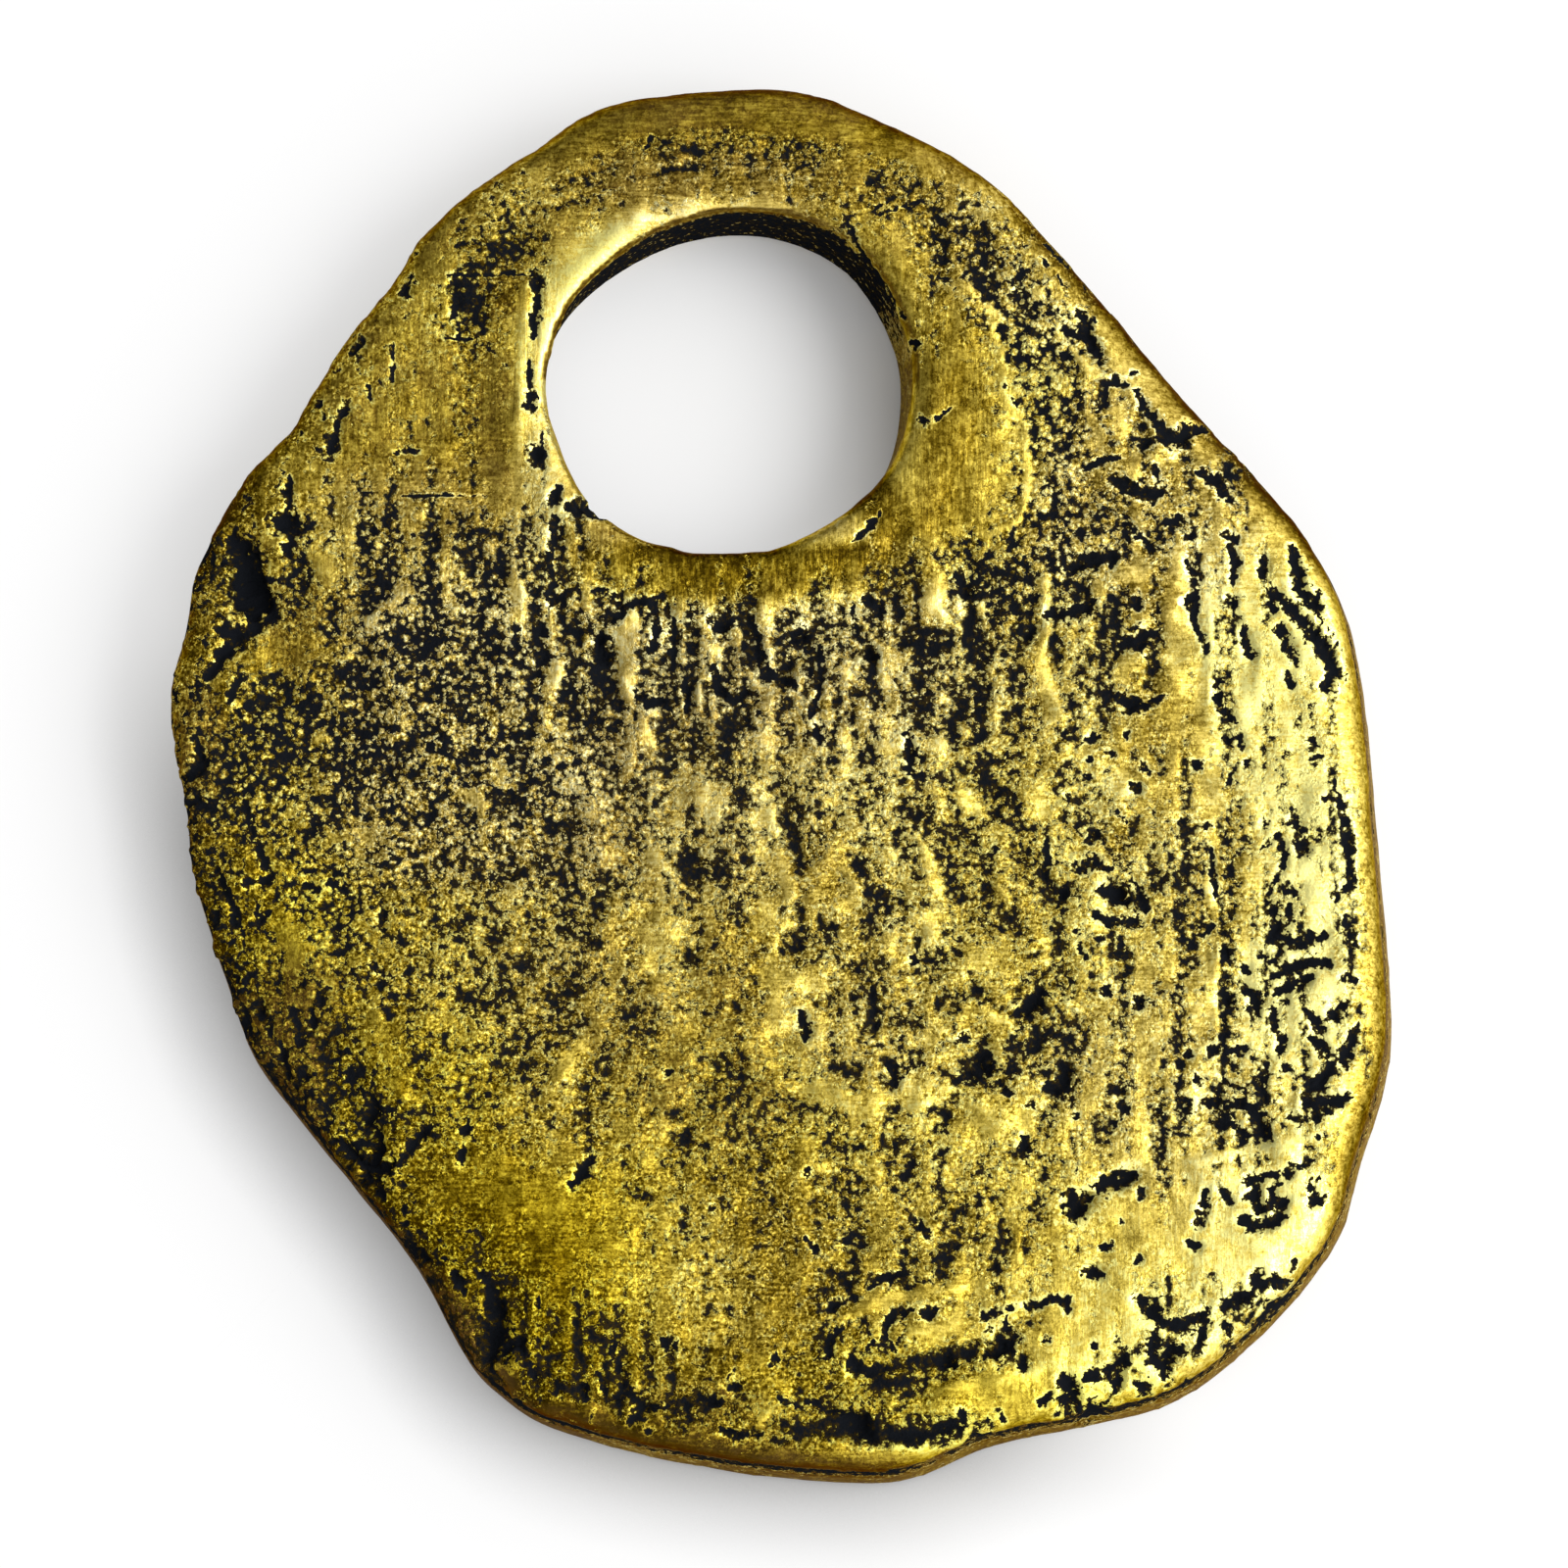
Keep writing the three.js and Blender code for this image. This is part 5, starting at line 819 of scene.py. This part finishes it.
class Wire:
    """A socket of a node tree that can be written in sums, and that makes further nodes."""

    def __init__(self, tree, socket=None):
        self.tree = tree
        self.socket = socket

    def make(self, kind, settings=None, sockets=None, out=0):
        """A new node, with its settings and with the values or links of its sockets."""
        node = self.tree.nodes.new(kind)
        for name, value in (settings or {}).items():
            if name == "stops":
                ramp = node.color_ramp.elements
                while len(ramp) < len(value):
                    ramp.new(1)
                for stop, (place, colour) in zip(ramp, value):
                    stop.position = place
                    stop.color = colour
            else:
                setattr(node, name, value)
        for key, value in (sockets or {}).items():
            if isinstance(value, Wire):
                self.tree.links.new(value.socket, node.inputs[key])
            else:
                node.inputs[key].default_value = value
        return Wire(self.tree, node.outputs[out] if len(node.outputs) else None)

    def other(self, out):
        """Another output of the same node."""
        return Wire(self.tree, self.socket.node.outputs[out])

    def maths(self, operation, *values):
        return self.make("ShaderNodeMath", {"operation": operation}, dict(enumerate(values)))

    def vector(self, operation, *values, out=0):
        sockets = dict(enumerate((self, *values)))
        return self.make("ShaderNodeVectorMath", {"operation": operation}, sockets, out)

    def __add__(self, other):
        return self.maths("ADD", self, other)

    def __sub__(self, other):
        return self.maths("SUBTRACT", self, other)

    def __rsub__(self, other):
        return self.maths("SUBTRACT", other, self)

    def __mul__(self, other):
        return self.maths("MULTIPLY", self, other)

    def __truediv__(self, other):
        return self.maths("DIVIDE", self, other)

    def __abs__(self):
        return self.maths("ABSOLUTE", self)

    def either(self, other):
        return self.maths("MAXIMUM", self, other)

    def at_most(self, other):
        return self.maths("MINIMUM", self, other)

    def over(self, low, high):
        """0 below low, 1 above high and smooth in between."""
        limits = {0: self, 1: low, 2: high, 3: 0.0, 4: 1.0}
        return self.make("ShaderNodeMapRange", {"interpolation_type": "SMOOTHSTEP"}, limits)

    def blend(self, low, high):
        """low where this is 0, high where it is 1."""
        return self.make("ShaderNodeMix", {"data_type": "FLOAT"}, {0: self, 2: low, 3: high})

    def blend_colours(self, low, high):
        return self.make("ShaderNodeMix", {"data_type": "RGBA"}, {0: self, 6: low, 7: high}, 2)

    def blend_shaders(self, low, high):
        return self.make("ShaderNodeMixShader", None, {0: self, 1: low, 2: high})

    def stretched(self, x, y, z):
        return self.vector("MULTIPLY", (x, y, z))

    def noise(self, scale, detail=2.0, rough=0.5, twist=0.0):
        sockets = {0: self, 2: scale, 3: detail, 4: rough, 8: twist}
        return self.make("ShaderNodeTexNoise", {"noise_dimensions": "3D"}, sockets)

    __radd__ = __add__
    __rmul__ = __mul__


def grained(rest, broad):
    """Above nought where the patina has stayed: broad patches, broken up by finer grain."""
    return broad + (rest.noise(3.8, 5.0, 0.65) - 0.5)


def frayed(rest, cut):
    """Above nought inside the cuts, whose edges are frayed."""
    return cut + 0.1 + (rest.noise(4.6, 4.0, 0.65) - 0.5) * 3.4


# The relief of the face: the black hollows lie a few hundredths of a millimetre below the brass,
# the cuts deeper, and the whole face is a little lumpy from the mould.
relief = bpy.data.node_groups.new("relief", "GeometryNodeTree")
relief.interface.new_socket("Geometry", in_out="INPUT", socket_type="NodeSocketGeometry")
RELIEF_SIZES = {"Hollow depth": 0.05, "Lump height": 0.4, "Pushed up": 0.015, "Rubbed plate": 0.08}  # mm
size_inputs = {}
for name, value in RELIEF_SIZES.items():
    size = relief.interface.new_socket(name, in_out="INPUT", socket_type="NodeSocketFloat")
    size.default_value = value
    size_inputs[size.identifier] = value
paint_slot = relief.interface.new_socket("Material", in_out="INPUT", socket_type="NodeSocketMaterial")
relief.interface.new_socket("Geometry", in_out="OUTPUT", socket_type="NodeSocketGeometry")
start = relief.nodes.new("NodeGroupInput")
given = {socket.name: Wire(relief, socket) for socket in start.outputs if socket.name}
blank = Wire(relief)


def named(name, kind="FLOAT"):
    return blank.make("GeometryNodeInputNamedAttribute", {"data_type": kind}, {0: name})


g_rest = named("rest", "FLOAT_VECTOR")
streaked = named("streak")
clotted = named("clot")
lumps = g_rest.noise(1.15, 1.0, 0.5) - 0.5
patches = g_rest.noise(2.3, 2.0, 0.55) - 0.5
short_streaks = g_rest.stretched(1, 0.26, 1).noise(4.2, 2.0, 0.55)
long_streaks = g_rest.stretched(1, 0.05, 1).noise(3.4, 1.0, 0.5)
streaks = short_streaks * 0.7 + long_streaks * 1.3 - 1.0
clots = g_rest.stretched(1, 0.6, 1).noise(2.2, 2.0, 0.5) - 0.5
broad = streaked.blend(patches * 0.45 - lumps * 0.4, streaks * 1.25 - lumps * 0.2) + clots * clotted
broad = broad + named("black") * (streaked.blend(1.0, 1.25) + clotted * 0.25)
g_cut = frayed(g_rest, named("cut"))
hollow = grained(g_rest, broad).over(-0.07, 0.07) * (clotted + 1.0)
deep = g_cut.over(-0.1, 0.7)
raised = g_cut.over(-1.2, -0.3) * (1 - g_cut.over(-0.3, 0.05))
rise = lumps * given["Lump height"] * named("lumpy") - named("smear") * given["Rubbed plate"]
rise = rise + raised * given["Pushed up"] - hollow * given["Hollow depth"] - deep * named("dip")
rise = rise * named("pressed")
normal = blank.make("GeometryNodeInputNormal")
offset = blank.make("ShaderNodeVectorMath", {"operation": "SCALE"}, {0: normal, 3: rise * MM})
kept = blank.make(
    "GeometryNodeStoreNamedAttribute", {"data_type": "FLOAT"}, {0: given["Geometry"], 2: "broad", 3: broad})
moved = blank.make("GeometryNodeSetPosition", None, {0: kept, 3: offset})
single = blank.make("GeometryNodeRealizeInstances", None, {0: moved})
painted = blank.make("GeometryNodeSetMaterial", None, {0: single, 2: given["Material"]})
end = relief.nodes.new("NodeGroupOutput")
relief.links.new(painted.socket, end.inputs[0])

# Aged brass: worn bright on the high places, brushed, olive where it has tarnished, and black where
# the patina has stayed in the hollows. Part of its brightness and darkness is painted light.
aged = bpy.data.materials.new("aged_brass")
aged.use_nodes = True
aged.node_tree.nodes.clear()
sheet = Wire(aged.node_tree)


def paint(red, green, blue):
    """A colour as it looks on a screen, 0 to 255, in the linear values that nodes take."""
    linear = (((c / 255 + 0.055) / 1.055) ** 2.4 if c > 10 else c / 255 / 12.92 for c in (red, green, blue))
    return (*linear, 1.0)


def painted_on(name, out=2):
    return sheet.make("ShaderNodeAttribute", {"attribute_name": name}, None, out)


OLIVE_TO_BRIGHT = [
    (0.0, paint(60, 45, 4)), (0.25, paint(118, 96, 18)), (0.5, paint(180, 156, 56)),
    (0.75, paint(238, 212, 92)), (1.0, paint(255, 246, 142)),
]
TARNISH = paint(112, 84, 48)
THIN_PATINA = paint(48, 38, 14)
THICK_PATINA = paint(20, 22, 26)
SHEEN = (0.5, 0.36, 0.18, 1.0)
GRAINS_PER_MM = 6.8
BUMP_HEIGHT = 0.07 * MM
BUMP_STRENGTH = 0.8

rest = painted_on("rest", 1)
grit = rest.noise(14.0, 3.0, 0.65) - 0.5
ragged = rest.noise(8.0, 3.0, 0.65) - 0.5
clouds = rest.noise(1.1, 2.0, 0.5) - 0.5
creases = 1 - abs(rest.noise(10.0, 2.0, 0.5, 0.8) - 0.5).over(0.0, 0.045)
bent = rest.noise(8.0, 2.0, 0.6).other(1).vector("MULTIPLY_ADD", (0.2, 0.2, 0.2), rest)
grain = sheet.make(
    "ShaderNodeTexVoronoi", {"voronoi_dimensions": "3D", "feature": "F1"}, {0: bent, 2: GRAINS_PER_MM})
facet = sheet.make("ShaderNodeSeparateColor", None, {0: grain.other(1)}) - 0.5

# Where the black lies: in the broad patches of the relief, round the grains and inside the cuts.
ground = grained(rest, painted_on("broad"))
ground = ground / (abs(ground) * 1.1 + 1.0)
busy = ground.over(-0.34, 0.04)
grains = (painted_on("nugget") * 0.7 + 0.4) * busy.blend(0.15, 1.0)
field = ground + painted_on("nugget") * 0.04 - 0.06 + (grain - 0.5 + facet * 0.25) * grains
field = field + ragged * 0.3 + grit * 0.3 + creases * grains * 0.14
cut_here = frayed(rest, painted_on("cut")) + ragged * 2.0 + grit * 0.8 + (grain - 0.5) * 1.4
black = field.over(-0.02, 0.02).either(cut_here.over(-0.1, 0.1))
# Rims beside the black, which the brightness below lights up as a painted highlight, partly burnish.
burnish_and_highlight_rim = field.over(-0.16, -0.02).either(cut_here.over(-1.0, -0.2)) * (1 - black)

# How bright the brass is: its tone of wear and painted light, its round grains, painted lighter in
# the middle and darker at the edge, painted highlights with some burnish on the rims beside the
# black, and the brush lines that cross it.
lines_down = rest.stretched(1, 0.12, 1).noise(16.0, 2.0, 0.6)
lines_across = rest.stretched(0.12, 1, 1).noise(16.0, 2.0, 0.6)
lines = painted_on("brush").blend(lines_down, lines_across) - 0.5
shade = painted_on("tone") * 0.74 + 0.05 + (0.5 - grain) * grains * 0.7 + clouds * 0.3 + lines * 0.7
shade = shade + grit * busy.blend(0.35, 3.9) + burnish_and_highlight_rim * 0.5 + ragged * 0.6 + facet * 0.2 - creases * 0.2
brass = sheet.make("ShaderNodeValToRGB", {"stops": OLIVE_TO_BRIGHT}, {0: shade})
brass = painted_on("pale").blend_colours(brass.stretched(1, 1, 0.35), brass.stretched(1, 1, 1.65))
tarnish = painted_on("brown") + clouds * 0.8 + grit * 0.8
brass = (tarnish.over(0.1, 0.9) * 0.45).blend_colours(brass, TARNISH)
soot = field.over(0.03, 0.25).either(cut_here.over(0.1, 0.5)).blend_colours(THIN_PATINA, THICK_PATINA)

height = (1 - field.over(-0.2, 0.08).either(black)) * 1.2 + grit * busy.blend(0.12, 1.0)
height = height + lines * 0.18 + ragged * busy.blend(0.15, 0.5)
shader = sheet.make("ShaderNodeBsdfPrincipled", None, {
    "Base Color": black.blend_colours(brass, soot),
    "Metallic": 1 - black,
    "Specular IOR Level": 0.0,
    "Specular Tint": SHEEN,
    "Roughness": black.blend(0.36 + grit * 0.2, 0.6),
    "Normal": sheet.make("ShaderNodeBump", None, {0: BUMP_STRENGTH, 1: BUMP_HEIGHT, 3: height}),
})
sheet.make("ShaderNodeOutputMaterial", None, {0: shader})

press = body.modifiers.new("relief", "NODES")
press.node_group = relief
for identifier, value in size_inputs.items():
    press[identifier] = value
press[paint_slot.identifier] = aged
settle(body)
body.data.shade_smooth()

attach(body, "root")
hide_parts("amulet_body")

# The table: a wide sheet of matt white paper, a hair below the amulet. It is clear when it is seen
# from below, so that the underside can be looked at.
bpy.ops.mesh.primitive_plane_add(size=1.2)
floor = bpy.context.object
floor.name = "floor"
floor.location.z = -0.03 * MM
paper = bpy.data.materials.new("paper")
paper.use_nodes = True
paper.node_tree.nodes.clear()
page = Wire(paper.node_tree)
place = page.make("ShaderNodeTexCoord", None, None, 3)
matt = page.make("ShaderNodeBsdfDiffuse", None, {0: (0.82, 0.82, 0.82, 1)})
white = page.make("ShaderNodeEmission", None, {0: (1, 1, 1, 1), 1: 1.0})
painted_shadow = page.make("ShaderNodeEmission", None, {0: (0, 0, 0, 1)})
clear = page.make("ShaderNodeBsdfTransparent")

# The camera, gloss and glass see part of the sheet's white as its own, less of it towards the
# upper right of the cord hole, where the rim's shadow falls.
seen = page.make("ShaderNodeLightPath")
seen = (seen + seen.other(3) + seen.other(6)).at_most(1.0)
past_hole = place.vector("DOT_PRODUCT", (0.7, 0.7, 0), out=1) - (HOLE_X + HOLE_Y) * 0.7 * MM
off_hole = place.vector("DISTANCE", (HOLE_X * MM, HOLE_Y * MM, 0), out=1).over(LIP_REACH * MM, 6.0 * MM)
own_white = 0.5 - (1 - off_hole) * (past_hole.over(-2.5 * MM, 2.8 * MM) * 0.45 + 0.03)
lit = (seen * own_white).blend_shaders(matt, white)

# A painted contact shadow: close under the wall, on the side away from the window, the sheet is
# mixed towards black by how much the casting hides it.
CONTACT_REACH = 2.2 * MM
open_air = page.make("ShaderNodeAmbientOcclusion", {"samples": 8}, {1: CONTACT_REACH}, 1)
dark_side = place.vector("DOT_PRODUCT", (-0.62, -0.785, 0), out=1).over(5.0 * MM, 9.5 * MM)
lit = ((1 - open_air) * dark_side).blend_shaders(lit, painted_shadow)
from_below = page.make("ShaderNodeNewGeometry", None, None, 6)
page.make("ShaderNodeOutputMaterial", None, {0: from_below.blend_shaders(lit, clear)})
floor.data.materials.append(paper)

# The window on the right: a wide round patch of soft daylight, turned to the amulet. It brightens
# the right side of the brass and leaves a soft shadow on the left.
window = bpy.data.objects.new("window", bpy.data.lights.new("window", "AREA"))
bpy.context.scene.collection.objects.link(window)
window.data.shape = "DISK"
window.data.size = 0.2
window.data.energy = 0.55
window.location = (0.24, -0.02, 0.25)
window.rotation_euler = (-window.location).to_track_quat("-Z", "Y").to_euler()

# The room that the brass mirrors: pale walls, brighter towards the window and in front than behind
# and on the left.
room = bpy.data.worlds.new("room")
bpy.context.scene.world = room
room.use_nodes = True
backdrop = room.node_tree.nodes["Background"]
backdrop.inputs["Color"].default_value = (1, 1, 1, 1)
air = Wire(room.node_tree)
to_right = air.make("ShaderNodeSeparateXYZ", None, {0: air.make("ShaderNodeTexCoord")})
to_back = to_right.other(1)
glow = to_right.over(-0.5, 0.6) * 1.4 - to_back * 0.22 + 0.36
room.node_tree.links.new(glow.socket, backdrop.inputs["Strength"])
